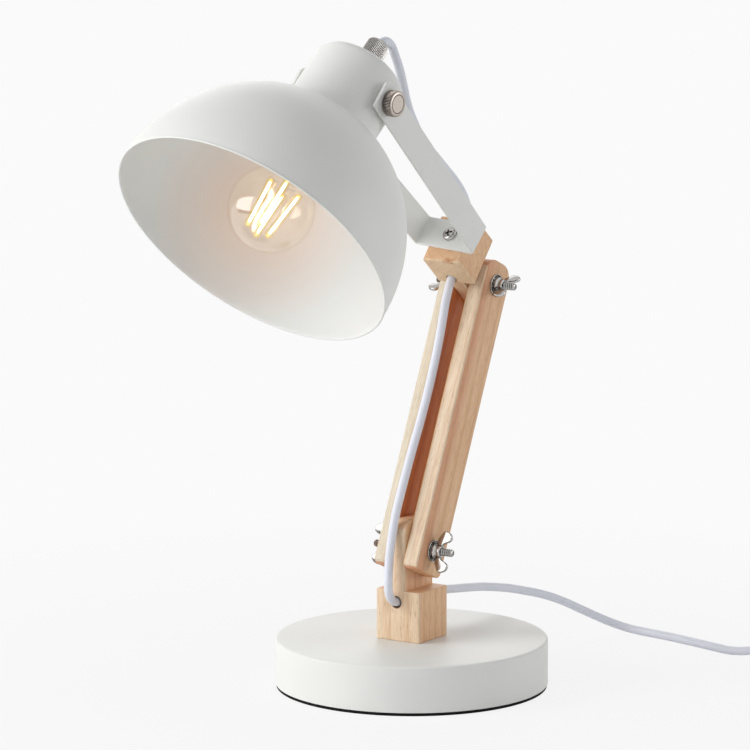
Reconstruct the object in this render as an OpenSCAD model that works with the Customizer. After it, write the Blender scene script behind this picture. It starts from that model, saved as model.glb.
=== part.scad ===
// Wooden desk lamp: round painted base, clamped two-slat arm, U bracket and tilting dome shade.
// Millimetres. The middle of the base's underside is the origin, Z is up, the lamp faces -Y.

/* [Base] */
// diameter of the round base
base_d = 150; // [130:1:180]
// height of the base shell above its pad
base_h = 25.4; // [22:0.2:34]
// thickness of the soft pad under the base
pad_t = 1.8; // [1.2:0.1:3]
// wall of the base shell
shell_t = 3; // [2:0.5:4]

/* [Lower block] */
// side of the square lower block
block_w = 28; // [26:0.5:36]
// height of the lower block below its shoulders
block_h = 28.2; // [27:0.2:36]
// thickness of the tongue on both blocks
tongue_w = 9.4; // [8:0.2:11]

/* [Arms] */
// thickness of one arm slat
arm_t = 9.2; // [8:0.2:11]
// depth of one arm slat, front to back
arm_w = 26; // [24:0.5:30]
// distance between the two pivots
arm_len = 152.4; // [130:0.2:180]

/* [Clamps] */
// diameter of the threaded rods and of the small screws
rod_d = 4; // [3.5:0.1:4.5]
// outer diameter of the clamp washers
washer_d = 12; // [10:0.5:14]
// thickness of the clamp washers
washer_t = 1; // [0.8:0.1:1.5]
// tip to tip span of the wing nuts
wing_span = 22; // [18:0.5:24]

/* [Head block] */
// width of the head block
head_w = 23.6; // [18:0.2:26]
// depth of the head block
head_d = 29; // [27:0.5:33]
// length of the head block from its shoulders to the bracket
head_len = 21.4; // [20:0.2:28]

/* [Bracket] */
// width of the bracket strip
strip_w = 17.8; // [15:0.2:20]
// thickness of the bracket strip
strip_t = 1.5; // [1.2:0.1:2]
// outer width of the bracket across its web
web_w = 39.8; // [36:0.2:46]
// distance from the web to the tilt axis
leg_len = 134.7; // [120:0.1:150]

/* [Shade] */
// outer diameter of the cup
cup_d = 51.8; // [48:0.2:60]
// outer diameter of the dome's rim
dome_d = 159.2; // [140:0.2:180]
// length of the dome along its axis
dome_len = 80; // [70:0.1:95]
// wall of the cup
cup_t = 1.2; // [1:0.1:2]

/* [Bulb and knobs] */
// diameter of the globe bulb
bulb_d = 46.4; // [44:0.2:50]
// diameter of the tilt knobs
knob_d = 14; // [12:0.2:16]
// thickness of the tilt knobs
knob_h = 6; // [5:0.2:8]

/* [Hidden] */
$fn = 48;

// running clearance on a shaft's radius
run_fit = 0.05;
// side clearance between wood faces that turn past each other
side_gap = 0.1;
// clearance between a clamp nut and its washer
nut_gap = 0.1;
// clearance between the cup and the bracket legs
cup_gap = 1.2;
// clearance between a knob and its leg
knob_gap = 0.6;

// angles of the pose shown
lean = 24.1;
head_up = 40.4;
swivel = -4.8;
shade_up = 6.9;

// colours
c_paint = [0.93, 0.93, 0.91];
c_wood = [0.85, 0.70, 0.52];
c_metal = [0.75, 0.75, 0.74];
c_dark = [0.12, 0.12, 0.12];
c_cord = [0.88, 0.88, 0.93];
c_glass = [0.95, 0.85, 0.65, 0.4];
c_brass = [0.80, 0.66, 0.35];
c_lit = [1.0, 0.85, 0.5];

// heights and pivots
base_top = pad_t + base_h;
shoulder_z = base_top + block_h;
piv_up = 0.827 * arm_w;
piv_z = shoulder_z + piv_up;
rod_r = rod_d / 2;
arm_in = tongue_w / 2 + side_gap;
arm_out = arm_in + arm_t;
arm_end = arm_w / 2;
top_y = arm_len * sin(lean);
top_z = piv_z + arm_len * cos(lean);
tongue_up = 17.4;

// cord and its channels
cord_d = 4.8;
cord_r = cord_d / 2;
chan_r = cord_r + 0.7;
chan_x = -1;
chan_z = shoulder_z - 6.6;

// head block, measured from the upper pivot in its own frame
head_s = 0.585 * arm_w;
head_e = head_s + head_len;
head_lo = -9.8;
head_hi = head_lo + head_d;
hchan_x = -1.8;
hchan_lo = head_s + 3.5;
hchan_hi = head_s + 8.8;
hchan_tilt = atan((hchan_hi - hchan_lo) / head_d);
screw_b = head_lo + head_d / 2 + 2.1;
screw_in = 8.4;

// bracket
tip_over = 9.4;
fold_r = 3.2;
cup_r = cup_d / 2;
leg_out = cup_r + cup_gap + strip_t;
splay = atan((leg_out - web_w / 2) / leg_len);
tip_z = leg_len + tip_over;

// low nut on the left end of the tilt axis
low_d = 10;
low_h = 2.4;

// shade, along its axis from the tilt axis
cup_back = 18.1;
cup_round = 5.2;
cup_front = 21.4;
rim_z = cup_front + dome_len;
dome_r = dome_d / 2;
dome_t = 1;
// half length of the dome's ellipse, which is widest at the rim
dome_c = dome_len / sqrt(1 - pow(cup_r / dome_r, 2));
nip_r = 5;
nip_out = 2.6;
grip_t = 4;
grip_end = 37.2;
grip_r = 6.3;
grip_mid = 26;
neck_out = 4.6;
hold_z = 0;
hold_floor = 12;
hold_top = 46;
hold_r = 17;
hold_bore = hold_r - 2.6;
shell_r = hold_bore - run_fit;
shell_in = shell_r - 0.75;
shell_h = hold_top - hold_floor - 8;
bulb_r = bulb_d / 2;
bulb_z = 80.6;
tip_c = 24;
cap_lo = 28;
cap_hi = 49;

// clamp hardware
nut_h = 5.6;
stub_r = 6.1;
stub_l = 3.5;
wing_t = 1.9;
nut_x = arm_out + washer_t + nut_gap;

// cord routes, each a row of points in millimetres
shade_route = [[2.3, -43.3, 351.2], [2.6, -40.7, 353.5], [2.9, -38.2, 355.9], [3, -36, 357.4],
    [3, -33.1, 358.4], [2.9, -29.8, 358.4], [2.8, -26.5, 357], [2.8, -24.1, 354.9], [2.7, -21.3, 350.5],
    [2.6, -17.9, 345], [2.4, -15, 339.5], [2.2, -12.4, 333.5], [1.9, -9.6, 326.8], [1.5, -5.6, 319.2],
    [0.8, 0.4, 311.6],
    [0.4, 6, 304.8], [0, 13, 298.6], [-0.4, 20, 293.2], [-0.8, 27.4, 287.8], [-1.1, 35.2, 282],
    [-1.3, 43.2, 275.8], [-1.5, 50, 269.6], [-1.6, 54.5, 264], [-1.7, 57.4, 258.4], [-1.8, 58.4, 253],
    [-1.8, 57.6, 248.3], [-1.8, 55.1, 243.9], [-1.8, 52.6, 239.6], [-1.8, 49, 233.4]];
shade_split = 16;
arm_route = [[-1.8, 49, 233.4], [-1.8, 45.4, 227.2], [-1.8, 41.7, 220.8], [-1.8, 39, 216],
    [-1.8, 36.2, 209.6], [-1.8, 33.4, 200.6], [-1.7, 30.2, 190.8], [-1.6, 24.2, 175.2],
    [-1.5, 17.2, 159.4], [-1.5, 9.6, 144],
    [-1.5, 1.2, 128.6], [-1.4, -6.8, 113], [-1.3, -14, 97.6], [-1.2, -18.8, 82], [-1.1, -20.8, 72],
    [-1, -21.5, 64], [-1, -21.6, 58.4], [-1, -20.9, 54.7], [-1, -18.8, 51.6], [-1, -15.7, 49.5],
    [-1, -12, 48.8], [-1, -6, 48.8], [-1, 0, 48.8]];
arm_split = 9;
run_route = [[-1, 0, 48.8], [-1, 8, 48.8], [-1, 16, 48.8], [-1, 24, 48.5], [-1, 36, 47.2], [-1, 48, 45.6],
    [-1, 60, 44], [-1, 72, 42.2], [0, 85, 39.8], [1, 98.6, 36.8], [2, 112, 33.2], [4, 124.4, 29.6],
    [7, 135.6, 25.5], [10.6, 145.6, 20.8], [15, 154.7, 15.7], [19.8, 163.2, 10.8], [25.4, 170.4, 6.6],
    [33, 174.6, 3.8], [42.4, 175.8, 2.7], [53, 174.8, 2.5], [63, 173, 2.5], [74, 170.4, 2.5],
    [85.6, 167.5, 2.5], [97, 164.5, 2.5], [108, 161.4, 2.7], [118, 158.5, 4], [128, 155.6, 6.3],
    [137, 153, 8], [145.6, 150.5, 8.6], [152.3, 148.6, 8.6], [158, 147, 8.6]];

// switch on the cord
sw_x = 182;
sw_y = 140;
sw_turn = -16.2;
sw_l = 62;
sw_w = 25;
sw_mid = 8.6;
sw_top = 17.6;
sw_nub = 7;
rock_z = 13.6;
rock_on = 6;

// coil of the unseen length
coil_x = 243;
coil_y = 82;
coil_ro = 39.6;
coil_pitch = 6;
coil_n = 3.36;
coil_a0 = 73.8;
coil_z1 = 3.6;
coil_z2 = 9.8;
coil_ri = coil_ro - coil_pitch * coil_n;
coil_steps = 24;
link_in = [[206, 133, 8.6], [212, 131.3, 8.6], [219.6, 129.1, 8.6], [227, 126.8, 7.8], [236, 124.2, 5.6],
    [245, 121.6, 4]];
coil_end_a = coil_a0 - 360 * (2 * coil_n + 0.5);
plug_dir = coil_end_a - 90;
plug_run = 42;
plug_z = 6.9;
boot_l = 26;
plug_l = 34;
plug_w = 35;
plug_h = 13.7;
pin_out = 19;
pin_gap = 18.6;
coil_out = [coil_x + coil_ro * cos(coil_end_a), coil_y + coil_ro * sin(coil_end_a)];
boot_at = [coil_out[0] + plug_run * cos(plug_dir), coil_out[1] + plug_run * sin(plug_dir)];

// frames
module at_arm() translate([0, 0, piv_z]) rotate([-lean, 0, 0]) children();
module at_top() translate([0, top_y, top_z]) rotate([-lean, 0, 0]) children();
module at_head() translate([0, top_y, top_z]) rotate([90 - head_up, 0, 0]) children();
module at_bracket() at_head() translate([0, screw_b, head_e]) rotate([0, 0, swivel]) children();
module at_shade() at_bracket() translate([0, 0, leg_len]) rotate([90 - shade_up, 0, 0]) children();
module at_switch() translate([sw_x, sw_y, 0]) rotate([0, 0, sw_turn]) children();
module at_plug() translate([boot_at[0], boot_at[1], plug_z]) rotate([0, 0, plug_dir]) children();
module along_x(x0, x1, r) translate([x0, 0, 0]) rotate([0, 90, 0]) cylinder(h = x1 - x0, r = r);

// shapes
function arc(c, r, a0, a1, n) = [for (i = [0:n]) let (a = a0 + (a1 - a0) * i / n) c + r * [cos(a), sin(a)]];
function box_round(x0, y0, x1, y1, r00, r10, r11, r01) = concat(
    arc([x0 + r00, y0 + r00], r00, 180, 270, 6), arc([x1 - r10, y0 + r10], r10, 270, 360, 6),
    arc([x1 - r11, y1 - r11], r11, 0, 90, 6), arc([x0 + r01, y1 - r01], r01, 90, 180, 6));
// a slab across X from x0 to x1 whose outline is given as (y, z) points
module slab(x0, x1, pts) translate([x0, 0, 0]) rotate([90, 0, 90])
    linear_extrude(height = x1 - x0) polygon(pts);

// round tube along a row of points: rings square to the path, carried without twist
function unit(v) = v / norm(v);
function path_dir(p, i) = i == 0 ? unit(p[1] - p[0])
    : i == len(p) - 1 ? unit(p[i] - p[i - 1]) : unit(unit(p[i + 1] - p[i]) + unit(p[i] - p[i - 1]));
function carry(u, t) = unit(u - t * (u * t));
function path_sides(p, u0) = [for (i = 0, u = carry(u0, path_dir(p, 0)); i < len(p);
    i = i + 1, u = i < len(p) ? carry(u, path_dir(p, i)) : u) u];
module tube(p, r, n, u0 = [1, 0, 0]) {
    us = path_sides(p, u0);
    m = len(p);
    pts = [for (i = [0:m - 1]) let (t = path_dir(p, i), u = us[i], v = cross(t, u))
        for (k = [0:n - 1]) p[i] + r * (cos(360 * k / n) * u + sin(360 * k / n) * v)];
    faces = concat([[for (k = [0:n - 1]) n - 1 - k]], [[for (k = [0:n - 1]) (m - 1) * n + k]],
        [for (i = [0:m - 2], k = [0:n - 1]) [i * n + k, i * n + (k + 1) % n, (i + 1) * n + (k + 1) % n]],
        [for (i = [0:m - 2], k = [0:n - 1]) [i * n + k, (i + 1) * n + (k + 1) % n, (i + 1) * n + k]]);
    polyhedron(points = pts, faces = [for (f = faces) [for (j = [len(f) - 1:-1:0]) f[j]]], convexity = 8);
}
function ease(s) = s <= 0 ? 0 : s >= 1 ? 1 : s * s * (3 - 2 * s);
// a route is parted in the middle of stretch i, with the ends square to it and lead_gap apart
lead_gap = 0.04;
function parting(p, i, g) = (p[i] + p[i + 1]) / 2 + g / 2 * unit(p[i + 1] - p[i]);
function part_before(p, i) = concat([for (j = [0:i]) p[j]], [parting(p, i, -lead_gap)]);
function part_after(p, i) = concat([parting(p, i, lead_gap)], [for (j = [i + 1:len(p) - 1]) p[j]]);

// coil: in along the lower layer, up half a turn at the inside, out along the upper layer
coil_turns = 2 * coil_n + 0.5;
coil_count = round(coil_turns * coil_steps);
function coil_rad(t) = t < coil_n ? coil_ro - coil_pitch * t
    : t < coil_n + 0.5 ? coil_ri : coil_ri + coil_pitch * (t - coil_n - 0.5);
function coil_h(t) = t < coil_n ? coil_z1 : t > coil_n + 0.5 ? coil_z2
    : coil_z1 + (coil_z2 - coil_z1) * ease((t - coil_n) / 0.5);
coil_pts = [for (i = [0:coil_count]) let (t = coil_turns * i / coil_count, a = coil_a0 - 360 * t)
    [coil_x + coil_rad(t) * cos(a), coil_y + coil_rad(t) * sin(a), coil_h(t)]];
coil_tail = [for (s = [0.25, 0.5, 0.75, 0.88, 1, 1.12]) [coil_out[0] + s * plug_run * cos(plug_dir),
    coil_out[1] + s * plug_run * sin(plug_dir), coil_z2 + (plug_z - coil_z2) * ease(s / 0.85)]];
coil_path = concat(link_in, coil_pts, coil_tail);
function run_len(p) = len(p) < 2 ? 0 : sum_to([for (i = [1:len(p) - 1]) norm(p[i] - p[i - 1])], 0);
function sum_to(v, i) = i >= len(v) ? 0 : v[i] + sum_to(v, i + 1);
coil_self = min([for (i = [0:len(coil_pts) - 13]) min([for (j = [i + 12:len(coil_pts) - 1])
    norm(coil_pts[i] - coil_pts[j])])]) - cord_d;
echo(run_length = run_len(run_route), coil_length = run_len(coil_path), coil_gap = coil_self,
    shade_length = run_len(shade_route), arm_length = run_len(arm_route));

// base
module base_pad() color(c_dark) cylinder(h = pad_t, r = base_d / 2 - 0.4, $fn = 96);
module base_shell() color(c_paint) translate([0, 0, pad_t]) difference() {
    rotate_extrude($fn = 96) polygon(concat([[0, 0], [base_d / 2 - 0.3, 0], [base_d / 2, 0.3]],
        arc([base_d / 2 - 1.4, base_h - 1.4], 1.4, 0, 90, 4), [[0, base_h]]));
    translate([0, 0, -1]) cylinder(h = base_h - shell_t + 1, r = base_d / 2 - shell_t, $fn = 96);
    cylinder(h = base_h + 1, r = 2.6);
}
module ballast() color([0.3, 0.3, 0.31]) translate([0, 0, pad_t]) difference() {
    cylinder(h = base_h - shell_t, r = base_d / 2 - shell_t - 0.3, $fn = 96);
    translate([0, 0, -1]) cylinder(h = 9, r = 9);
    cylinder(h = base_h, r = 2.6);
}
module base_washer() color(c_metal) translate([0, 0, pad_t + 6.5]) difference() {
    cylinder(h = 1.5, r = 8);
    translate([0, 0, -1]) cylinder(h = 4, r = 2.6);
}
module base_screw() color(c_metal) translate([0, 0, pad_t]) difference() {
    union() {
        translate([0, 0, 3.5]) cylinder(h = 3, r = 4.75);
        translate([0, 0, 6]) cylinder(h = base_h - 6 + 14, r = 2.5);
    }
    translate([0, 0, 3]) cylinder(h = 2.5, r = 2, $fn = 6);
}
module lower_block() color(c_wood) difference() {
    union() {
        translate([-block_w / 2, -block_w / 2, base_top]) cube([block_w, block_w, block_h]);
        slab(-tongue_w / 2, tongue_w / 2, box_round(-block_w / 2, shoulder_z - 2, block_w / 2,
            piv_z + tongue_up, 0.01, 0.01, 8, 8));
    }
    translate([0, 0, piv_z]) along_x(-tongue_w, tongue_w, rod_r + run_fit);
    translate([chan_x, -block_w, chan_z]) rotate([-90, 0, 0]) cylinder(h = 2 * block_w, r = chan_r);
    translate([0, 0, base_top - 1]) cylinder(h = 15.2, r = 2.5 + run_fit);
}

// arms and clamps
module arm_slat(x0) color(c_wood) at_arm() difference() {
    slab(x0, x0 + arm_t, box_round(-arm_w / 2, -arm_end, arm_w / 2, arm_len + arm_end, 3, 3,
        0.35 * arm_w, 0.35 * arm_w));
    along_x(x0 - 1, x0 + arm_t + 1, rod_r + run_fit);
    translate([0, 0, arm_len]) along_x(x0 - 1, x0 + arm_t + 1, rod_r + run_fit);
}
module arm_left() arm_slat(-arm_out);
module arm_right() arm_slat(arm_in);
rod_right = nut_x + nut_h + stub_r - 0.4;
rod_left = nut_x + nut_h + stub_l - 0.4;
module rod() color(c_metal) {
    along_x(-rod_left, rod_right, rod_r);
    translate([rod_right, 0, 0]) rotate([0, 90, 0]) cylinder(h = 0.4, r1 = rod_r, r2 = rod_r - 0.4);
    translate([-rod_left, 0, 0]) rotate([0, -90, 0]) cylinder(h = 0.4, r1 = rod_r, r2 = rod_r - 0.4);
}
module lower_rod() at_arm() rod();
module upper_rod() at_top() rod();
module washer(s) color(c_metal) difference() {
    along_x(s > 0 ? arm_out : -arm_out - washer_t, s > 0 ? arm_out + washer_t : -arm_out, washer_d / 2);
    along_x(-arm_out - 5, arm_out + 5, rod_r + run_fit);
}
module lower_washer_left() at_arm() washer(-1);
module lower_washer_right() at_arm() washer(1);
module upper_washer_left() at_top() washer(-1);
module upper_washer_right() at_top() washer(1);
// wing nut on +X, its wings turned by a from the arm's own line
module wing_nut(a) color(c_metal) rotate([-a, 0, 0]) difference() {
    union() {
        translate([nut_x, 0, 0]) rotate([0, 90, 0]) cylinder(h = nut_h, r1 = 4.3, r2 = 3.5);
        for (s = [0, 180]) rotate([s, 0, 0]) translate([nut_x, -wing_t / 2, 0]) rotate([90, 0, 0])
            mirror([0, 0, 1]) linear_extrude(height = wing_t) polygon(concat(
                [[0.8, 2.6], [5.2, 2.6], [6, 4.2]], arc([8, wing_span / 2 - 2], 1.6, -20, 110, 6),
                [[3.6, wing_span / 2], [0.8, 5.6]]));
    }
    along_x(nut_x - 1, nut_x + nut_h + 1, rod_r + run_fit);
}
module wing_lower_right() at_arm() wing_nut(-6);
module wing_lower_left() at_arm() mirror([1, 0, 0]) wing_nut(-12);
module wing_upper_right() at_top() wing_nut(45);
module wing_upper_left() at_top() mirror([1, 0, 0]) wing_nut(44);

// head
module head_block() color(c_wood) at_head() difference() {
    union() {
        translate([-head_w / 2, head_lo, head_s]) cube([head_w, head_d, head_len]);
        slab(-tongue_w / 2, tongue_w / 2, box_round(head_lo, -11, 10.6, head_s + 1, 7, 7, 0.01, 0.01));
    }
    along_x(-tongue_w, tongue_w, rod_r + run_fit);
    translate([hchan_x, (head_lo + head_hi) / 2, (hchan_lo + hchan_hi) / 2]) rotate([hchan_tilt - 90, 0, 0])
        cylinder(h = 2 * head_d, r = chan_r, center = true);
    translate([0, screw_b, head_e - screw_in]) cylinder(h = screw_in + 1, r = rod_r);
}
module bracket_screw() color(c_metal) at_head() translate([0, screw_b, head_e]) difference() {
    union() {
        translate([0, 0, strip_t + 0.05]) cylinder(h = 1.2, r = rod_d);
        translate([0, 0, strip_t + 1.25]) cylinder(h = 1.3, r1 = rod_d, r2 = 0.62 * rod_d);
        translate([0, 0, -screw_in]) cylinder(h = screw_in + strip_t + 1, r = rod_r);
    }
    for (a = [20, 110]) rotate([0, 0, a]) translate([-2.2, -0.5, strip_t + 1.2]) cube([4.4, 1, 3]);
}
// strip bent to a U: half outline from the middle of the web to a leg's tip and back
fold_xc = web_w / 2 - fold_r * cos(splay) + tan(splay) * fold_r * (1 - sin(splay));
tip_x = web_w / 2 + tan(splay) * tip_z;
half_u = concat(arc([fold_xc, fold_r], fold_r, -90, -splay, 6), [[tip_x, tip_z],
    [tip_x - strip_t * cos(splay), tip_z + strip_t * sin(splay)]],
    arc([fold_xc, fold_r], fold_r - strip_t, -splay, -90, 6));
module bracket() color(c_paint) at_bracket() difference() {
    rotate([90, 0, 0]) linear_extrude(height = strip_w, center = true)
        polygon(concat(half_u, [for (i = [len(half_u) - 1:-1:0]) [-half_u[i][0], half_u[i][1]]]));
    translate([0, 0, -1]) cylinder(h = strip_t + 2, r = rod_r + run_fit);
    translate([0, 0, leg_len]) along_x(-web_w, web_w, rod_r + run_fit);
}

// shade
module cup() color(c_paint) at_shade() difference() {
    union() {
        rotate_extrude($fn = 72) polygon(concat([[nip_r + run_fit, -cup_back]],
            arc([cup_r - cup_round, -cup_back + cup_round], cup_round, -90, 0, 6),
            [[cup_r, cup_front], [cup_r - cup_t, cup_front]],
            arc([cup_r - cup_round, -cup_back + cup_round], cup_round - cup_t, 0, -90, 5),
            [[nip_r + run_fit, -cup_back + cup_t]]));
        for (s = [-1, 1]) along_x(s > 0 ? cup_r - 5 : -cup_r + 0.8, s > 0 ? cup_r - 0.8 : -cup_r + 5, 4.5);
    }
    along_x(-cup_r - 1, cup_r + 1, rod_r + run_fit);
}
function dome_at(a, c, r) = rim_z - c * sqrt(max(0, 1 - pow(r / a, 2)));
dome_n = 14;
neck_o = cup_r - cup_t - 0.05;
neck_i = neck_o - dome_t;
dome_out = [for (i = [0:dome_n]) let (r = cup_r + (dome_r - cup_r) * sin(90 * i / dome_n))
    [r, dome_at(dome_r, dome_c, r)]];
dome_in = [for (i = [0:dome_n]) let (r = neck_i + (dome_r - dome_t - neck_i) * sin(90 * i / dome_n))
    [r, dome_at(dome_r - dome_t, dome_c - dome_t * 1.6, r)]];
module dome() color(c_paint) at_shade() rotate_extrude($fn = 96) polygon(concat(
    [[neck_i, cup_front - 8], [neck_o, cup_front - 8], [neck_o, cup_front]], dome_out,
    [[dome_r + 0.3, rim_z + 0.4], [dome_r + 0.1, rim_z + 1.1], [dome_r - dome_t, rim_z + 1.1]],
    [for (i = [dome_n:-1:0]) dome_in[i]]));
module nipple() color(c_metal) at_shade() difference() {
    translate([0, 0, -cup_back - nip_out]) cylinder(h = cup_back + nip_out + 8, r = nip_r);
    translate([0, 0, -cup_back - 6]) cylinder(h = cup_back + 20, r = chan_r);
}
module nipple_nut() color(c_metal) at_shade() translate([0, 0, -cup_back + cup_t]) difference() {
    cylinder(h = 4, r = 9, $fn = 6);
    translate([0, 0, -1]) cylinder(h = 6, r = nip_r + run_fit);
}
module grip_base() color(c_metal) at_shade() difference() {
    union() {
        translate([0, 0, -cup_back - grip_t]) cylinder(h = grip_t, r = grip_r + 0.2);
        translate([0, 0, -grip_mid - 6]) cylinder(h = grip_mid + 6 - cup_back - grip_t + 0.5, r = neck_out);
    }
    translate([0, 0, -cup_back - nip_out]) cylinder(h = nip_out + 1, r = nip_r + run_fit);
    translate([0, 0, -grip_end - 1]) cylinder(h = 20, r = chan_r);
}
module grip_cap() color(c_metal) at_shade() difference() {
    union() {
        translate([0, 0, -grip_end + 1]) cylinder(h = grip_end - cup_back - grip_t - 1, r = grip_r);
        translate([0, 0, -grip_end]) cylinder(h = 1, r1 = grip_r - 0.8, r2 = grip_r);
    }
    translate([0, 0, -grip_mid - 6.1]) cylinder(h = 20, r = neck_out + run_fit);
    translate([0, 0, -grip_end - 1]) cylinder(h = 20, r = chan_r);
}
module holder_body() color(c_paint) at_shade() difference() {
    union() {
        translate([0, 0, hold_z]) cylinder(h = hold_top - hold_z, r = hold_r);
        translate([0, 0, hold_z - 4]) cylinder(h = 5, r = 9);
    }
    translate([0, 0, hold_z - 5]) cylinder(h = 13, r = nip_r + run_fit);
    translate([0, 0, hold_floor]) cylinder(h = hold_top, r = hold_bore);
}
module holder_shell() color(c_brass) at_shade() translate([0, 0, hold_floor]) difference() {
    cylinder(h = shell_h, r = shell_r);
    translate([0, 0, 1]) cylinder(h = shell_h, r = shell_in);
    translate([0, 0, -1]) cylinder(h = 4, r = 9);
}
module holder_contact() color(c_brass) at_shade() translate([0, 0, hold_floor]) {
    cylinder(h = 3, r = 5);
    cylinder(h = tip_c - hold_floor, r = 2.5);
}

// bulb
module bulb_insulator() color(c_dark) at_shade() {
    translate([0, 0, tip_c]) cylinder(h = 1.5, r = 4.6);
    translate([0, 0, tip_c + 1.5]) cylinder(h = cap_lo - tip_c - 1.5, r1 = 5, r2 = 11.5);
}
module bulb_cap() color(c_metal) at_shade() difference() {
    union() {
        translate([0, 0, cap_lo]) cylinder(h = 2, r1 = 12, r2 = 13.2);
        translate([0, 0, cap_lo + 2]) cylinder(h = cap_hi - cap_lo - 2, r = 13.2);
    }
    translate([0, 0, cap_lo + 1]) cylinder(h = cap_hi, r = 12.4);
}
// glass outline: neck, then a smooth shoulder on to the globe
glass_w = 0.8;
neck_r = 12.3;
neck_z = cap_hi + 3;
join_a = 128;
join_r = bulb_r * sin(join_a);
join_z = bulb_z + bulb_r * cos(join_a);
function neck_at(s) = neck_r + (join_r - neck_r) * (0.35 * s + 0.65 * s * s);
function glass_line(d) = concat([[neck_r - d, cap_hi - 6], [neck_r - d, neck_z]],
    [for (i = [1:5]) [neck_at(i / 6) - d, neck_z + (join_z - neck_z) * i / 6]],
    [for (i = [0:9]) let (a = join_a * (1 - i / 9), r = bulb_r - d)
        [max(0, r * sin(a)), bulb_z + r * cos(a)]]);
glass_in = glass_line(glass_w);
module bulb_glass() color(c_glass) at_shade() rotate_extrude($fn = 64)
    polygon(concat(glass_line(0), [for (i = [len(glass_in) - 1:-1:0]) glass_in[i]]));
// turn of the four filaments round the bulb's axis
cage_turn = 54;
module bulb_stem() color([0.9, 0.9, 0.88]) at_shade() {
    translate([0, 0, cap_hi - 6]) cylinder(h = 6, r1 = neck_r - glass_w, r2 = 5);
    translate([0, 0, cap_hi]) cylinder(h = 14, r1 = 5, r2 = 1.8);
    translate([0, 0, cap_hi + 13]) cylinder(h = bulb_z + 17 - cap_hi - 13, r = 0.7);
    for (z = [bulb_z - 15.4, bulb_z + 15.4], a = [0:90:270]) translate([0, 0, z]) rotate([0, 0, a + cage_turn])
        along_x(0, 7.6, 0.4);
}
module filaments() color(c_lit) at_shade() for (a = [0:90:270]) rotate([0, 0, a + cage_turn])
    translate([7.6, 0, bulb_z - 15]) cylinder(h = 30, r = 0.9, $fn = 16);

// tilt knob on the right, and a low round nut on the left, where the cup hides it
module knob(d, h, edge) color(c_metal) {
    k0 = leg_out + knob_gap;
    along_x(cup_r - 4.6, k0 + 1, rod_r);
    along_x(k0, k0 + h - edge, d / 2);
    translate([k0 + h - edge, 0, 0]) rotate([0, 90, 0]) cylinder(h = edge, r1 = d / 2, r2 = d / 2 - edge);
}
module knob_right() at_shade() knob(knob_d, knob_h, 1.2);
module knob_left() at_shade() mirror([1, 0, 0]) knob(low_d, low_h, 0.6);

// cord
module shade_lead_upper() color(c_cord) tube(part_before(shade_route, shade_split), cord_r, 10);
module shade_lead_lower() color(c_cord) tube(part_after(shade_route, shade_split), cord_r, 10);
module arm_lead_upper() color(c_cord) tube(part_before(arm_route, arm_split), cord_r, 10);
module arm_lead_lower() color(c_cord) tube(part_after(arm_route, arm_split), cord_r, 10);
module cord_run() color(c_cord) tube(run_route, cord_r, 10);
module cord_coil() color(c_cord) tube(coil_path, cord_r, 6, [0, 0, 1]);
module coil_tie() color(c_dark) translate([coil_x, coil_y, 0]) rotate([0, 0, 205]) difference() {
    translate([coil_ri - 3.6, -4, 0.2]) cube([coil_ro - coil_ri + 7.2, 8, coil_z2 + 3.4]);
    translate([coil_ri - 2.9, -5, 0.9]) cube([coil_ro - coil_ri + 5.8, 10, coil_z2 + 2]);
}

// switch
module switch_body(z0, z1) linear_extrude(height = z1 - z0)
    polygon(box_round(-sw_l / 2, -sw_w / 2, sw_l / 2, sw_w / 2, 8, 8, 8, 8));
module switch_cord() for (s = [0, 180]) rotate([0, 0, s]) translate([sw_l / 2 - 9, 0, sw_mid])
    rotate([0, 90, 0]) cylinder(h = 20, r = cord_r + 0.2);
module switch_nubs() for (s = [0, 180]) rotate([0, 0, s]) translate([sw_l / 2 - 2, 0, sw_mid])
    rotate([0, 90, 0]) cylinder(h = sw_nub, r1 = 5, r2 = 3.6);
module switch_bottom() color(c_paint) at_switch() difference() {
    union() {
        switch_body(0, sw_mid);
        intersection() { switch_nubs(); translate([-60, -20, 0]) cube([120, 40, sw_mid]); }
    }
    translate([-16, -9, 2]) cube([32, 18, sw_top]);
    switch_cord();
}
module switch_top() color(c_paint) at_switch() difference() {
    union() {
        translate([0, 0, sw_mid]) switch_body(sw_mid, sw_top);
        intersection() { switch_nubs(); translate([-60, -20, sw_mid]) cube([120, 40, 20]); }
    }
    translate([-16, -9, sw_mid - 1]) cube([32, 18, sw_top - sw_mid - 1]);
    translate([-11, -6.4, sw_mid]) cube([22, 12.8, 20]);
    translate([0, -10.5, rock_z]) rotate([-90, 0, 0]) cylinder(h = 21, r = 1.3);
    switch_cord();
}
module rocker() color(c_dark) at_switch() translate([0, 0, rock_z]) {
    rotate([0, -rock_on, 0]) slab_y(-5.9, 5.9, [[-10, 1.6], [-10, 5.2], [-5, 4.4], [0, 4.1],
        [5, 4.4], [10, 5.2], [10, 1.6], [3, -3], [-3, -3]]);
    translate([0, -10.4, 0]) rotate([-90, 0, 0]) cylinder(h = 20.8, r = 1.25);
}
// a slab across Y from y0 to y1 whose outline is given as (x, z) points
module slab_y(y0, y1, pts) translate([0, y1, 0]) rotate([90, 0, 0])
    linear_extrude(height = y1 - y0) polygon(pts);

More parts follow.
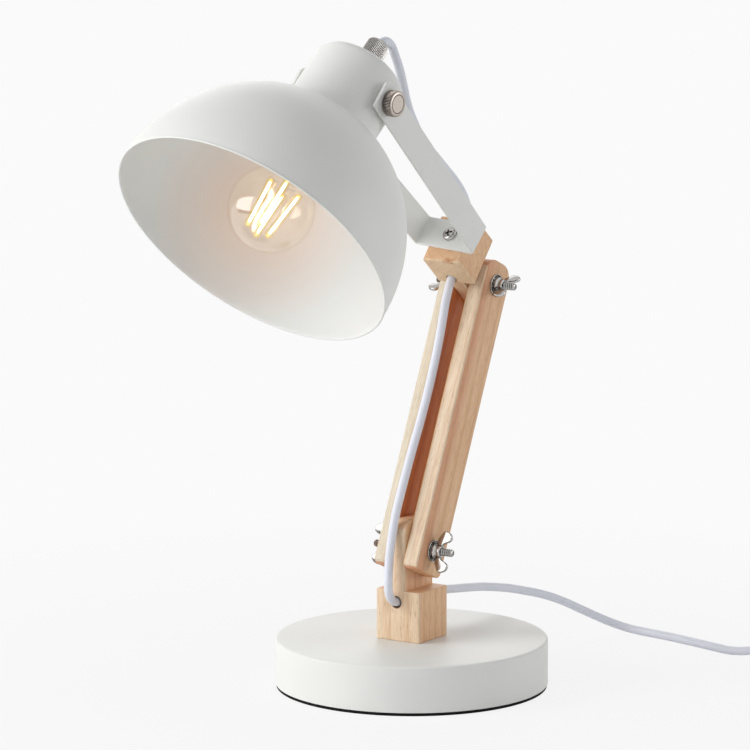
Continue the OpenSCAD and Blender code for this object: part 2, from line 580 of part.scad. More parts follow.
// plug
module plug_body() color(c_paint) at_plug() difference() {
    union() {
        rotate([0, 90, 0]) cylinder(h = boot_l + 1, r1 = 3.5, r2 = 5.6);
        translate([boot_l, 0, -plug_h / 2]) linear_extrude(height = plug_h) polygon([[0, -6.5],
            [10, -plug_w / 2 + 4], [14, -plug_w / 2], [plug_l, -plug_w / 2 + 2],
            [plug_l, plug_w / 2 - 2], [14, plug_w / 2], [10, plug_w / 2 - 4], [0, 6.5]]);
    }
    translate([-1, 0, 0]) rotate([0, 90, 0]) cylinder(h = 8, r = cord_r + 0.2);
    for (s = [-1, 1]) translate([boot_l + plug_l - 8, s * pin_gap / 2, 0]) rotate([0, 90, 0])
        cylinder(h = 20, r = 2 + run_fit);
}
module plug_pins() color(c_metal) at_plug() for (s = [-1, 1])
    translate([boot_l + plug_l - 8, s * pin_gap / 2, 0]) {
    rotate([0, 90, 0]) cylinder(h = pin_out + 6.6, r = 2);
    translate([pin_out + 6.6, 0, 0]) rotate([0, 90, 0]) cylinder(h = 1.4, r1 = 2, r2 = 1);
}

base_pad();
base_shell();
ballast();
base_washer();
base_screw();
lower_block();
arm_left();
arm_right();
lower_rod();
upper_rod();
lower_washer_left();
lower_washer_right();
upper_washer_left();
upper_washer_right();
wing_lower_left();
wing_lower_right();
wing_upper_left();
wing_upper_right();
head_block();
bracket_screw();
bracket();
cup();
dome();
nipple();
nipple_nut();
grip_base();
grip_cap();
holder_body();
holder_shell();
holder_contact();
bulb_cap();
bulb_insulator();
bulb_glass();
bulb_stem();
filaments();
knob_left();
knob_right();
shade_lead_upper();
shade_lead_lower();
arm_lead_upper();
arm_lead_lower();
cord_run();
switch_bottom();
switch_top();
rocker();
cord_coil();
coil_tie();
plug_body();
plug_pins();
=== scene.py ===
# %% [markdown]
# # A wooden desk lamp, dressed for a picture
# The solids of the lamp come from model.glb: base, clamped arm, bracket, shade and cord all have their true
# sizes and places. This lesson keeps every one of those places and gives the lamp what solids lack: grain in
# the wood, thread on the rods, a knurl on the knob, a lit bulb and a soft cord.

# %% Load the imported lamp
import bmesh
import bpy
import numpy as np
from mathutils import Matrix, Vector
from mathutils.geometry import tessellate_polygon


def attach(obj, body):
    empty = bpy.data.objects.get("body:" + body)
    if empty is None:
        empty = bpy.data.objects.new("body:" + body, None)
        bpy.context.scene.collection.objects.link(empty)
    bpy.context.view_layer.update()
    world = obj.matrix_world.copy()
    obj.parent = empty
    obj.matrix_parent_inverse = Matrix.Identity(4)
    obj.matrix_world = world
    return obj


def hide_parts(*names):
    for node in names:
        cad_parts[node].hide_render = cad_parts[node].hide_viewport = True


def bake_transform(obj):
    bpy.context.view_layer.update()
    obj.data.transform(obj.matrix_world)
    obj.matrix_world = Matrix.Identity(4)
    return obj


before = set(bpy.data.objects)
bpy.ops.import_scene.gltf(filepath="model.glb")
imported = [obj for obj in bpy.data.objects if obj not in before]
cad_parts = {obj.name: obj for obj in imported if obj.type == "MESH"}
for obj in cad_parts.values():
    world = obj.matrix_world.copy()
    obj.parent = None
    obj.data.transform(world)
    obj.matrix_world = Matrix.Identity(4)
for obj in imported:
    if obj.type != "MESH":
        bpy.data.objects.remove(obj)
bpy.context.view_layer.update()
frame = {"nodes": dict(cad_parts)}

# %% [markdown]
# ## Where the camera stands
# A product picture is taken from far off with a long lens, so that upright edges stay upright. The
# camera is given by its bearing and height angle, its distance and a small slide left and up, which
# frames the lamp as in the photograph. A rotation whose columns are the camera's right, up and back
# directions says the same as three turns, and is easier to check.

# %% Camera
def new_object(name, data):
    """Object at the origin that shows the data."""
    made = bpy.data.objects.new(name, data)
    bpy.context.collection.objects.link(made)
    return made

def standing(right, up, back, place):
    """Matrix whose columns are the directions right, up and back, and the place."""
    return Matrix([[right[i], up[i], back[i], place[i]] for i in range(3)] + [[0, 0, 0, 1]])

bearing, height_angle = np.radians(34.05), np.radians(9.72)
distance, slide_left, slide_up = 2.7553, 0.0202, 0.1706
flat = np.cos(height_angle)
back = np.array([np.sin(bearing) * flat, -np.cos(bearing) * flat, np.sin(height_angle)])
right = np.array([np.cos(bearing), np.sin(bearing), 0.0])
up = np.cross(back, right)
stand = distance * back - slide_left * right + slide_up * up
lens = bpy.data.cameras.new("long_lens")
lens.lens = 240.0
lens.sensor_width = 36.0
lens.clip_end = 100.0
camera = new_object("camera", lens)
camera.matrix_world = standing(right, up, back, stand)
bpy.context.scene.camera = camera
bpy.context.scene.view_settings.view_transform = "Standard"
print("camera stands at", stand.round(3))

# %% [markdown]
# ## Shapes from arrays
# Every new piece is a grid of points: a profile turned round an axis, or a section carried along a
# path. These helpers turn such grids into closed meshes, weld the points that fall together at poles
# and seams, and shade them smooth except across real edges.

# %% Grids and meshes
MM = 0.001

def circle(count):
    """Angles spread evenly round a full circle."""
    return np.linspace(0, 2 * np.pi, count, endpoint=False)

def grid_faces(rows, cols, wrap_cols=True, wrap_rows=False):
    """Quads of a grid stored row by row: (i, j), (i, j+1), (i+1, j+1), (i+1, j), closed round if asked."""
    row = np.arange(rows if wrap_rows else rows - 1)
    col = np.arange(cols if wrap_cols else cols - 1)
    i, j = np.meshgrid(row, col, indexing="ij")
    i2, j2 = (i + 1) % rows, (j + 1) % cols
    return np.stack([i * cols + j, i * cols + j2, i2 * cols + j2, i2 * cols + j], -1).reshape(-1, 4)

def rings(grid, closed=False):
    """Shape of a grid whose rows are rings of points; closed joins the last ring to the first."""
    return grid.reshape(-1, 3), list(grid_faces(*grid.shape[:2], True, closed))

def capped(grid):
    """Shape of a grid whose rows are rings of points, closed by a flat face at both ends."""
    points, faces = rings(grid)
    cols = grid.shape[1]
    return points, faces + [np.arange(cols)[::-1], len(points) - cols + np.arange(cols)]

def build_mesh(name, parts, sharp=35.0):
    """One object from (points in millimetres, faces) parts: welded, faces outward, smooth below the angle."""
    points = np.vstack([p for p, f in parts]) * MM
    start = np.cumsum([0] + [len(p) for p, f in parts[:-1]])
    faces = [[int(v) + int(s) for v in face] for (p, f), s in zip(parts, start) for face in f]
    mesh = bpy.data.meshes.new(name)
    mesh.from_pydata(points.tolist(), [], faces)
    work = bmesh.new()
    work.from_mesh(mesh)
    bmesh.ops.remove_doubles(work, verts=work.verts, dist=2e-6)
    bmesh.ops.dissolve_degenerate(work, edges=work.edges, dist=1e-7)
    bmesh.ops.recalc_face_normals(work, faces=work.faces)
    work.to_mesh(mesh)
    work.free()
    mesh.polygons.foreach_set("use_smooth", np.ones(len(mesh.polygons), bool))
    mesh.set_sharp_from_angle(angle=np.radians(sharp))
    return new_object(name, mesh)

print("mesh helpers ready")

# %% [markdown]
# ## Tubes along a path
# A cord or a wire is a circle carried along a path. A Hermite curve takes the path smoothly through a
# few chosen points. The circle needs two directions square to the path at every point, and each pair
# is turned from the one before it by as little as possible, so that the tube never twists.

# %% Paths and tubes
def smooth_path(points, spacing):
    """Points an even spacing apart on the cubic Hermite curve through the given ones, whose tangents
    come from their neighbours."""
    points = np.asarray(points, float)
    knots = np.concatenate([[0], np.cumsum(np.linalg.norm(np.diff(points, axis=0), axis=1))])
    tangent = np.gradient(points, knots, axis=0)
    t = np.linspace(0, knots[-1], max(2, int(round(knots[-1] / spacing)) + 1))
    k = np.clip(np.searchsorted(knots, t, side="right") - 1, 0, len(knots) - 2)
    width = (knots[k + 1] - knots[k])[:, None]
    s = (t - knots[k])[:, None] / width
    return ((2 * s**3 - 3 * s**2 + 1) * points[k] + (s**3 - 2 * s**2 + s) * width * tangent[k]
            + (3 * s**2 - 2 * s**3) * points[k + 1] + (s**3 - s**2) * width * tangent[k + 1])

def square_to(path, side):
    """Two directions square to a path and to each other, carried from point to point without twist."""
    along = np.gradient(path, axis=0)
    along /= np.linalg.norm(along, axis=1)[:, None]
    first = np.empty_like(along)
    for i, t in enumerate(along):
        side = side - t * (side @ t)
        side = side / np.linalg.norm(side)
        first[i] = side
    return first, np.cross(along, first)

def tube(path, radius, sides=20, side=(1.0, 0.0, 0.0)):
    """Circle carried along a path, path + radius (cos a u + sin a v), and closed by flat ends."""
    u, v = square_to(path, np.array(side))
    a = circle(sides)[None, :, None]
    return capped(path[:, None] + radius * (np.cos(a) * u[:, None] + np.sin(a) * v[:, None]))

print("tube helpers ready")

# %% [markdown]
# ## The cord's route
# The cord is one length of soft white lead: from the grip behind the shade down into the head block,
# from there in front of the arm into the lower block, and from the block's back to a switch, a coil
# and the plug. Each stretch follows the same points as its solid, in millimetres.

# %% Cord routes
cord_d = 4.8
shade_route = [
    [2.3, -43.3, 351.2], [2.6, -40.7, 353.5], [2.9, -38.2, 355.9], [3, -36, 357.4], [3, -33.1, 358.4],
    [2.9, -29.8, 358.4], [2.8, -26.5, 357], [2.8, -24.1, 354.9], [2.7, -21.3, 350.5], [2.6, -17.9, 345],
    [2.4, -15, 339.5], [2.2, -12.4, 333.5], [1.9, -9.6, 326.8], [1.5, -5.6, 319.2], [0.8, 0.4, 311.6],
    [0.4, 6, 304.8], [0, 13, 298.6], [-0.4, 20, 293.2], [-0.8, 27.4, 287.8], [-1.1, 35.2, 282],
    [-1.3, 43.2, 275.8], [-1.5, 50, 269.6], [-1.6, 54.5, 264], [-1.7, 57.4, 258.4], [-1.8, 58.4, 253],
    [-1.8, 57.6, 248.3], [-1.8, 55.1, 243.9], [-1.8, 52.6, 239.6], [-1.8, 49, 233.4]]
arm_route = [
    [-1.8, 49, 233.4], [-1.8, 45.4, 227.2], [-1.8, 41.7, 220.8], [-1.8, 39, 216], [-1.8, 36.2, 209.6],
    [-1.8, 33.4, 200.6], [-1.7, 30.2, 190.8], [-1.6, 24.2, 175.2], [-1.5, 17.2, 159.4], [-1.5, 9.6, 144],
    [-1.5, 1.2, 128.6], [-1.4, -6.8, 113], [-1.3, -14, 97.6], [-1.2, -18.8, 82], [-1.1, -20.8, 72],
    [-1, -21.5, 64], [-1, -21.6, 58.4], [-1, -20.9, 54.7], [-1, -18.8, 51.6], [-1, -15.7, 49.5],
    [-1, -12, 48.8], [-1, -6, 48.8], [-1, 0, 48.8]]
run_route = [
    [-1, 0, 48.8], [-1, 8, 48.8], [-1, 16, 48.8], [-1, 24, 48.5], [-1, 36, 47.2], [-1, 48, 45.6],
    [-1, 60, 44], [-1, 72, 42.2], [0, 85, 39.8], [1, 98.6, 36.8], [2, 112, 33.2], [4, 124.4, 29.6],
    [7, 135.6, 25.5], [10.6, 145.6, 20.8], [15, 154.7, 15.7], [19.8, 163.2, 10.8], [25.4, 170.4, 6.6],
    [33, 174.6, 3.8], [42.4, 175.8, 2.7], [53, 174.8, 2.5], [63, 173, 2.5], [74, 170.4, 2.5],
    [85.6, 167.5, 2.5], [97, 164.5, 2.5], [108, 161.4, 2.7], [118, 158.5, 4], [128, 155.6, 6.3],
    [137, 153, 8], [145.6, 150.5, 8.6], [152.3, 148.6, 8.6], [158, 147, 8.6]]
link_in = [
    [206, 133, 8.6], [212, 131.3, 8.6], [219.6, 129.1, 8.6], [227, 126.8, 7.8], [236, 124.2, 5.6],
    [245, 121.6, 4]]
print("route points", len(shade_route), len(arm_route), len(run_route))

# %% [markdown]
# ## The coil
# The spare length lies in a flat coil. It is wound inwards on the table, climbs half a turn on the
# way, and is wound outwards again on top of the first layer, so both ends leave on the outside. The
# radius is a straight line in the number of turns, and the height is a smooth step.

# %% Coil
def ease(s):
    """Smooth step from 0 to 1: s squared times three less two s."""
    s = np.clip(s, 0, 1)
    return s * s * (3 - 2 * s)

coil_at = np.array([243.0, 82.0])
coil_out_r, coil_pitch, coil_start = 39.6, 6.0, 73.8
layer_turns, climb, steps_a_turn = 3.36, 0.5, 48
coil_low, coil_high = 3.6, 9.8
all_turns = 2 * layer_turns + climb
turns = np.linspace(0, all_turns, int(round(all_turns * steps_a_turn)) + 1)
wound_in = np.where(turns < layer_turns, turns, layer_turns - np.maximum(turns - layer_turns - climb, 0))
coil_r = coil_out_r - coil_pitch * wound_in
angle = np.radians(coil_start - 360 * turns)
coil_z = coil_low + (coil_high - coil_low) * ease((turns - layer_turns) / climb)
coil_points = np.stack([coil_at[0] + coil_r * np.cos(angle), coil_at[1] + coil_r * np.sin(angle), coil_z], 1)

plug_turn = angle[-1] - np.pi / 2
plug_dir = np.array([np.cos(plug_turn), np.sin(plug_turn)])
plug_run, plug_z = 42.0, 6.9
tail = np.array([0.25, 0.5, 0.75, 0.88, 1, 1.12])
tail_xy = coil_points[-1, :2] + (tail * plug_run)[:, None] * plug_dir
tail_z = coil_high + (plug_z - coil_high) * ease(tail / 0.85)
coil_tail = np.column_stack([tail_xy, tail_z])
boot_at = np.array([*(coil_points[-1, :2] + plug_run * plug_dir), plug_z])
print("coil points", len(coil_points), "boot at", boot_at.round(1))

# %% [markdown]
# ## Cord stretches
# The leads cross the lamp's joints, so each is made in two stretches that share an end. Each stretch crosses
# one joint, and its row also lists the joint's two bodies and a start and an end point on its route. The
# mains cord rides on the base.

# %% Cord stretches
def in_metres(point):
    """A point in millimetres, in metres."""
    return tuple(float(v) * MM for v in point)

def cord_stretch(node, route, spacing=1.6):
    """Tube as thick as the cord along the smooth curve through a route, standing for its solid."""
    path = smooth_path(route, spacing)
    cord = build_mesh("soft_" + node, [tube(path, cord_d / 2)], sharp=60)
    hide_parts(node)
    print(cord.name, len(path), "rings")
    return cord, path

leads = []
for node, route, first, second, start, end in [
        ("shade_lead_upper", shade_route[:17], "shade", "bracket", shade_route[4], shade_route[15]),
        ("shade_lead_lower", shade_route[16:], "bracket", "head", shade_route[17], shade_route[24]),
        ("arm_lead_upper", arm_route[:10], "head", "arm", arm_route[3], arm_route[8]),
        ("arm_lead_lower", arm_route[9:], "arm", "base", arm_route[10], arm_route[15])]:
    lead, path = cord_stretch(node, route)
    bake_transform(lead)
    leads.append(lead)
run_cord, run_path = cord_stretch("cord_run", run_route)
coil_cord, coil_path = cord_stretch("cord_coil", np.vstack([link_in, coil_points, coil_tail]), 2.0)
for cord in (run_cord, coil_cord):
    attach(cord, "base")

# %% [markdown]
# ## The chain of frames
# A jointed lamp is a chain: the arm turns on the base, the head block on the arm, the bracket on the
# head block and the shade in the bracket. Each link gets a frame, a turn and a place given inside the
# link before it, so a piece can be drawn straight and square and then be put where it belongs.

# %% Frames
def turn_x(degrees):
    """Turn about X: Y goes towards Z."""
    c, s = np.cos(np.radians(degrees)), np.sin(np.radians(degrees))
    return np.array([[1, 0, 0], [0, c, -s], [0, s, c]])

def turn_y(degrees):
    """Turn about Y: X goes towards Z."""
    c, s = np.cos(np.radians(degrees)), np.sin(np.radians(degrees))
    return np.array([[c, 0, -s], [0, 1, 0], [s, 0, c]])

def turn_z(degrees):
    """Turn about Z: X goes towards Y."""
    c, s = np.cos(np.radians(degrees)), np.sin(np.radians(degrees))
    return np.array([[c, -s, 0], [s, c, 0], [0, 0, 1]])

def inside(frame, turn=np.eye(3), shift=(0, 0, 0)):
    """A frame given inside another: the turns multiply, and the shift is turned before it is added."""
    return frame[0] @ turn, frame[0] @ np.array(shift, float) + frame[1]

def put(frame, shape):
    """A shape's points turned and moved into a frame."""
    points, faces = shape
    return points @ frame[0].T + frame[1], faces

lean, head_up, swivel, shade_up = 24.1, 40.4, -4.8, 6.9
base_top, pivot_z, arm_len = 27.2, 76.902, 152.4
head_start, head_end, screw_at, leg_len = 15.21, 36.61, 6.8, 134.7
desk_at = (np.eye(3), np.zeros(3))
arm_at = inside(desk_at, turn_x(-lean), (0, 0, pivot_z))
top_at = inside(arm_at, shift=(0, 0, arm_len))
head_at = (turn_x(90 - head_up), top_at[1])
bracket_at = inside(head_at, turn_z(swivel), (0, screw_at, head_end))
shade_at = inside(bracket_at, turn_x(90 - shade_up), (0, 0, leg_len))
FRONT = np.array([[1, 0, 0], [0, 0, -1], [0, 1, 0]], float)
ACROSS = np.array([[0, 0, 1], [1, 0, 0], [0, 1, 0]], float)
ACROSS_LEFT = np.array([[0, 0, -1], [1, 0, 0], [0, -1, 0]], float)
TO_SIDE = {"left": ACROSS_LEFT, "right": ACROSS}
print("upper pivot", top_at[1].round(2), "tilt axis", shade_at[1].round(2))

# %% [markdown]
# ## Turned shapes
# A lathe turns a profile round an axis, as a grid of angle against profile. Real edges are never
# sharp, so a profile is drawn by its corners and each corner is then made a small arc. The knurl of a
# knob is a ripple round the circle, added to the radius where the profile asks for it.

# %% Lathe
def rounded(corners, radii, steps=7):
    """Closed outline with each corner made an arc, whose tangents are radius / tan(half the corner's
    angle) long and whose points run evenly round the arc's centre."""
    p = np.asarray(corners, float)
    r = np.broadcast_to(np.asarray(radii, float), len(p))
    a, b = np.roll(p, 1, 0) - p, np.roll(p, -1, 0) - p
    a = a / np.linalg.norm(a, axis=1)[:, None]
    b = b / np.linalg.norm(b, axis=1)[:, None]
    half = np.arccos(np.clip((a * b).sum(1), -1, 1)) / 2
    middle = (a + b) / np.linalg.norm(a + b, axis=1)[:, None]
    centre = p + middle * (r / np.sin(half))[:, None]
    tangent = (r / np.tan(half))[:, None]
    start, stop = p + a * tangent - centre, p + b * tangent - centre
    sweep, s = (np.pi - 2 * half)[:, None], np.linspace(0, 1, steps)[None, :]
    w0, w1 = np.sin((1 - s) * sweep) / np.sin(sweep), np.sin(s * sweep) / np.sin(sweep)
    arcs = centre[:, None] + w0[..., None] * start[:, None] + w1[..., None] * stop[:, None]
    return arcs.reshape(-1, 2)

def turned(r, z):
    """Radii r, a row for each ring, turned round Z at the heights z: x = r cos a, y = r sin a."""
    a = circle(r.shape[1])
    return np.stack([r * np.cos(a), r * np.sin(a), np.broadcast_to(z, r.shape)], -1)

def lathe(profile, columns=96, closed=True, ripple=None, depth=None):
    """Profile of (radius, height) turned round Z. A ripple round the circle may be added to the radius,
    as deep at each point of the profile as depth says."""
    profile = np.asarray(profile, float)
    r = np.repeat(profile[:, :1], columns, 1)
    if ripple is not None:
        r = r + ripple[None, :] * depth[:, None]
    return rings(turned(r, profile[:, 1:]), closed)

def rod_profile(radius, low, high):
    """Profile of a plain rod from low to high, with a hair of room at the axis."""
    return [(0.01, low), (radius, low), (radius, high), (0.01, high)]

print("lathe ready")

# %% [markdown]
# ## Sawn shapes
# A saw and sander leave a board with its edges eased to a small round. The board is its outline
# repeated up the edge, drawn in by a quarter round at both faces, which is what makes a sanded edge
# catch the light. Flat faces with holes in them are filled between their rims.

# %% Board
def drawn_in(outline, depth):
    """Outline moved inward by a depth along the mean of its two edge normals, lengthened at corners."""
    edge = np.roll(outline, -1, 0) - outline
    normal = np.stack([edge[:, 1], -edge[:, 0]], 1) / np.linalg.norm(edge, axis=1)[:, None]
    mean = normal + np.roll(normal, 1, 0)
    return outline - depth * mean * (2 / (mean * mean).sum(1))[:, None]

def stacked(outline, depths, levels):
    """Loops of an outline one above another, each drawn in by its depth and lying at its level."""
    return np.stack([np.column_stack([drawn_in(outline, d), np.full(len(outline), w)])
                     for d, w in zip(depths, levels)])

def fill_between(points, rims):
    """Triangles of a flat face between its rims, the outermost first."""
    index = np.concatenate(rims)
    filled = tessellate_polygon([[Vector(points[i]) for i in rim] for rim in rims])
    return [index[list(corners)] for corners in filled]

def board(outline, low, high, edge=0.8, holes=(), steps=5, sides=40):
    """Outline in (u, v) given thickness along w, its edges eased by a quarter round: drawn in by
    edge (1 - sin a) at edge (1 - cos a) from the face. A hole is (centre at the low face, centre at
    the high face, radius, lip)."""
    u, v = outline.T
    if (u * np.roll(v, -1) - np.roll(u, -1) * v).sum() < 0:
        outline = outline[::-1]
    a, n = np.linspace(0, np.pi / 2, steps), len(outline)
    depth, eased = edge * (1 - np.sin(a)), edge * (1 - np.cos(a))
    levels = np.concatenate([low + eased, high - eased[::-1]])
    first, faces = rings(stacked(outline, np.concatenate([depth, depth[::-1]]), levels))
    points, count = [first], len(first)
    low_rims, high_rims = [np.arange(n)], [count - n + np.arange(n)]
    for enters, leaves, radius, lip in holes:
        w = np.array([low, low + 0.3 * lip, low + lip, high - lip, high - 0.3 * lip, high])
        r = radius + lip * np.array([1, 0.3, 0, 0, 0.3, 1])
        wall = turned(np.repeat(r[:, None], sides, 1), w[:, None])
        share = ((w - low) / (high - low))[:, None]
        wall[..., :2] += (np.asarray(enters) + share * (np.asarray(leaves) - np.asarray(enters)))[:, None]
        points.append(wall.reshape(-1, 3))
        faces += [f + count for f in grid_faces(len(w), sides)]
        low_rims.append(count + np.arange(sides))
        count += len(w) * sides
        high_rims.append(count - sides + np.arange(sides))
    points = np.vstack(points)
    for rims in (low_rims, high_rims):
        faces += fill_between(points, rims) if len(rims) > 1 else rims
    return points, faces

def finish_piece(name, parts, body, nodes, sharp=35.0):
    """Build the mesh, let it ride on its body and stand for its nodes."""
    obj = build_mesh(name, parts, sharp)
    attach(obj, body)
    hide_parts(*nodes)
    print(name, len(obj.data.polygons), "faces")
    return obj

print("board ready")

# %% [markdown]
# ## Wood
# The lower block, the two slats and the head block are sawn from pale wood. The block and the head
# block each have a thin tongue that the slats clamp, and a hole for the cord: straight through the
# lower block, slanted through the head block. Boards with eased edges and holes give all four.

# %% Wooden pieces
tongue, block_eased, slat_eased, slat_t = 4.7, 0.6, 0.7, 9.2
ROD_HOLE, CORD_HOLE = (2.1, 0.1), (3.1, 0.5)

def box_corners(u0, v0, u1, v1):
    """The four corners of an upright box, given by its low and its high corner."""
    return [(u0, v0), (u1, v0), (u1, v1), (u0, v1)]

def bore(size, enters, leaves=None):
    """Hole of a (radius, lip) through a board: straight, unless it leaves at another place."""
    return (enters, leaves or enters, *size)

block_box = rounded(box_corners(-14, base_top, 14, 55.4), block_eased)
block_tongue = rounded(box_corners(-13.9, 54.0, 13.9, pivot_z + 17.4), [0.3, 0.3, 8, 8])
lower_block = finish_piece("wood_lower_block", [
    put(inside(desk_at, FRONT), board(block_box, -14, 14, block_eased, [bore(CORD_HOLE, (-1, 48.8))])),
    put(inside(desk_at, ACROSS), board(block_tongue, -tongue, tongue, holes=[bore(ROD_HOLE, (0, pivot_z))]))],
    "base", ["lower_block"])

slat_outline = rounded(box_corners(-13, -13, 13, arm_len + 13), [3.2, 3.2, 9.1, 9.1], 9)
rod_bores = [bore(ROD_HOLE, (0, 0)), bore(ROD_HOLE, (0, arm_len))]
slats = []
for hand, low in [("left", -14.0), ("right", 4.8)]:
    slat = put(inside(arm_at, ACROSS), board(slat_outline, low, low + slat_t, slat_eased, rod_bores))
    slats.append(finish_piece("wood_slat_" + hand, [slat], "arm", ["arm_" + hand]))

head_box = rounded(box_corners(-11.8, head_start, 11.8, head_end), block_eased)
head_tongue = rounded(box_corners(-9.8, -11, 10.6, head_start + 1), [7, 7, 0.3, 0.3])
slanted = bore(CORD_HOLE, (-1.8, head_start + 8.8), (-1.8, head_start + 3.5))
head_block = finish_piece("wood_head_block", [
    put(inside(head_at, FRONT), board(head_box, -19.2, 9.8, block_eased, [slanted])),
    put(inside(head_at, ACROSS), board(head_tongue, -tongue, tongue, holes=[bore(ROD_HOLE, (0, 0))]))],
    "head", ["head_block"])

# %% [markdown]
# ## Rods and washers
# Threaded rods clamp the slats. Where a rod sticks out, its thread shows, so there the radius follows
# a helix: a zigzag of the height along the rod less the turn round it, one turn to each 1.4 mm. The
# washers have a shallow groove round their face.

# %% Rods and washers
def threaded_rod(left, right, covered, radius=2.15, pitch=1.4, depth=0.6, sides=36):
    """Radius less depth times a zigzag of (height / pitch - turn). The thread fades in beyond the part
    that is covered, and the ends are chamfered."""
    step, fade, chamfer = 0.1, 0.4, 0.7
    left_end, right_end = np.arange(-left, -covered, step), np.arange(covered + step, right, step)
    x = np.concatenate([left_end, np.linspace(-covered, covered, 8), right_end, [right]])[:, None]
    phase = x / pitch - circle(sides)[None, :] / (2 * np.pi)
    zigzag = 1 - np.abs(2 * (phase - np.floor(phase)) - 1)
    shown = np.clip(np.maximum(-covered - x, x - covered) / fade, 0, 1)
    end = np.clip(np.minimum(x + left, right - x) / chamfer, 0, 1)
    r = np.minimum(radius - depth * shown * zigzag, radius - depth * (1 - end))
    return capped(turned(r, x))

washer_line = rounded(
    [(2.1, 14.0), (6.0, 14.0), (6.0, 15.0), (5.5, 15.0), (5.4, 14.4), (4.8, 14.4), (4.7, 15.0), (2.1, 15.0)],
    [0.1, 0.2, 0.22, 0.1, 0.1, 0.1, 0.1, 0.1], 5)
rods, washers = [], []
for level, place in [("lower", arm_at), ("upper", top_at)]:
    rod = put(inside(place, ACROSS), threaded_rod(24.2, 26.8, 19.2))
    rods.append(finish_piece("rod_" + level, [rod], "arm", [level + "_rod"], 50))
    for hand, across in TO_SIDE.items():
        washer = put(place, put(inside(desk_at, across), lathe(washer_line, 64)))
        name, node = "washer_" + level + "_" + hand, level + "_washer_" + hand
        washers.append(finish_piece(name, [washer], "arm", [node]))

# %% [markdown]
# ## Wing nuts
# A wing nut is a turned hub with two flat ears. Each ear starts as a few corner points, cut back to
# a smooth outline again and again, and is then given thickness with well rounded edges.

# %% Wing nuts
def cut_corners(outline, times):
    """Each pass swaps every corner for two points, a quarter of the way along its two edges."""
    for _ in range(times):
        after = np.roll(outline, -1, 0)
        outline = np.stack([0.75 * outline + 0.25 * after, 0.25 * outline + 0.75 * after], 1).reshape(-1, 2)
    return outline

nut_x, ear_half, ear_round = 15.1, 0.95, 0.62
ear = cut_corners(np.array([
    (0.6, 1.6), (4.2, 1.6), (4.9, 4.3), (9.5, 6.0), (10.2, 8.4), (8.4, 10.8), (4.4, 11.8), (2.8, 9.4),
    (1.0, 6.0), (0.5, 3.4)]), 3)
hub = rounded(
    [(2.1, 0), (4.5, 0), (4.5, 1.4), (3.25, 2.1), (3.1, 2.9), (3.55, 3.2), (3.5, 4.3), (3.0, 4.7), (2.6, 4.7),
     (2.1, 4.2)], [0.1, 0.3, 0.35, 0.3, 0.2, 0.15, 0.3, 0.15, 0.1, 0.1], 4)

def wing_nut(angle, hand):
    """Hub turned round the rod, and two ears turned by the angle from the arm's own line."""
    place = inside((turn_x(-angle) @ TO_SIDE[hand], np.zeros(3)), shift=(0, 0, nut_x))
    points, faces = board(ear, -ear_half, ear_half, ear_round)
    ears = [np.stack([points[:, 2], side * points[:, 1], points[:, 0]], 1) for side in (1, -1)]
    return [put(place, lathe(hub, 48))] + [put(place, (swung, faces)) for swung in ears]

nuts = []
for level, hand, place, angle in [("lower", "right", arm_at, -6), ("lower", "left", arm_at, -12),
                                  ("upper", "right", top_at, 45), ("upper", "left", top_at, 44)]:
    wing = "wing_" + level + "_" + hand
    parts = [put(place, part) for part in wing_nut(angle, hand)]
    nuts.append(finish_piece("nut_" + wing, parts, wing, [wing], 40))

# %% [markdown]
# ## Base
# The base is a pressed round shell under white paint, on a dark pad. Paint rounds every edge a little,
# so each profile has small arcs at its corners.

# %% Base
shell_line = rounded([(2.6, 24.2), (2.6, base_top), (75, base_top), (75, 1.8), (72, 1.8), (72, 24.2)],
                     [0.1, 0.1, 1.5, 0.35, 0.1, 0.1], 9)
pad_line = rounded([(0.01, 0), (74.5, 0), (74.7, 1.78), (0.01, 1.78)], [0.001, 0.5, 0.1, 0.001], 5)
base_shell = finish_piece("painted_base", [lathe(shell_line, 192)], "base", ["base_shell"], 40)
base_pad = finish_piece("dark_pad", [lathe(pad_line, 160)], "base", ["base_pad"], 50)

# %% [markdown]
# ## Bracket
# The bracket is one strip bent to a U, whose legs splay a little to take the cup between them. Its
# middle line is drawn first, and the strip's rounded section is carried along it.

# %% Bracket
strip_t, strip_w, web_w, fold_r, leg_out, tip_r = 1.5, 17.8, 39.8, 2.2, 28.6, 4.4
splay = np.arctan((leg_out - web_w / 2) / leg_len)
tip_z = leg_len + 9.4

def half_line(quarter):
    """Half of the U's middle line: along the web, round the fold and up the splayed leg. Its last
    points lie where the quarter circle at the tip's corner needs them."""
    r = fold_r - strip_t / 2
    fold_x = web_w / 2 - fold_r * np.cos(splay) + np.tan(splay) * fold_r * (1 - np.sin(splay))
    a = np.linspace(-np.pi / 2, -splay, 9)
    fold = np.stack([fold_x + r * np.cos(a), fold_r + r * np.sin(a)], 1)
    tip_x = web_w / 2 + np.tan(splay) * tip_z - strip_t / 2 * np.cos(splay)
    leg = np.array([tip_x, tip_z + strip_t / 2 * np.sin(splay)]) - fold[-1]
    reach = np.linalg.norm(leg)
    straight = np.linspace(0, reach - tip_r, 20)[1:]
    steps = np.concatenate([straight, reach - tip_r * (1 - np.sin(quarter))]) / reach
    web = np.stack([np.linspace(0, fold_x, 8)[:-1], np.full(7, strip_t / 2)], 1)
    return np.vstack([web, fold, fold[-1] + steps[:, None] * leg])

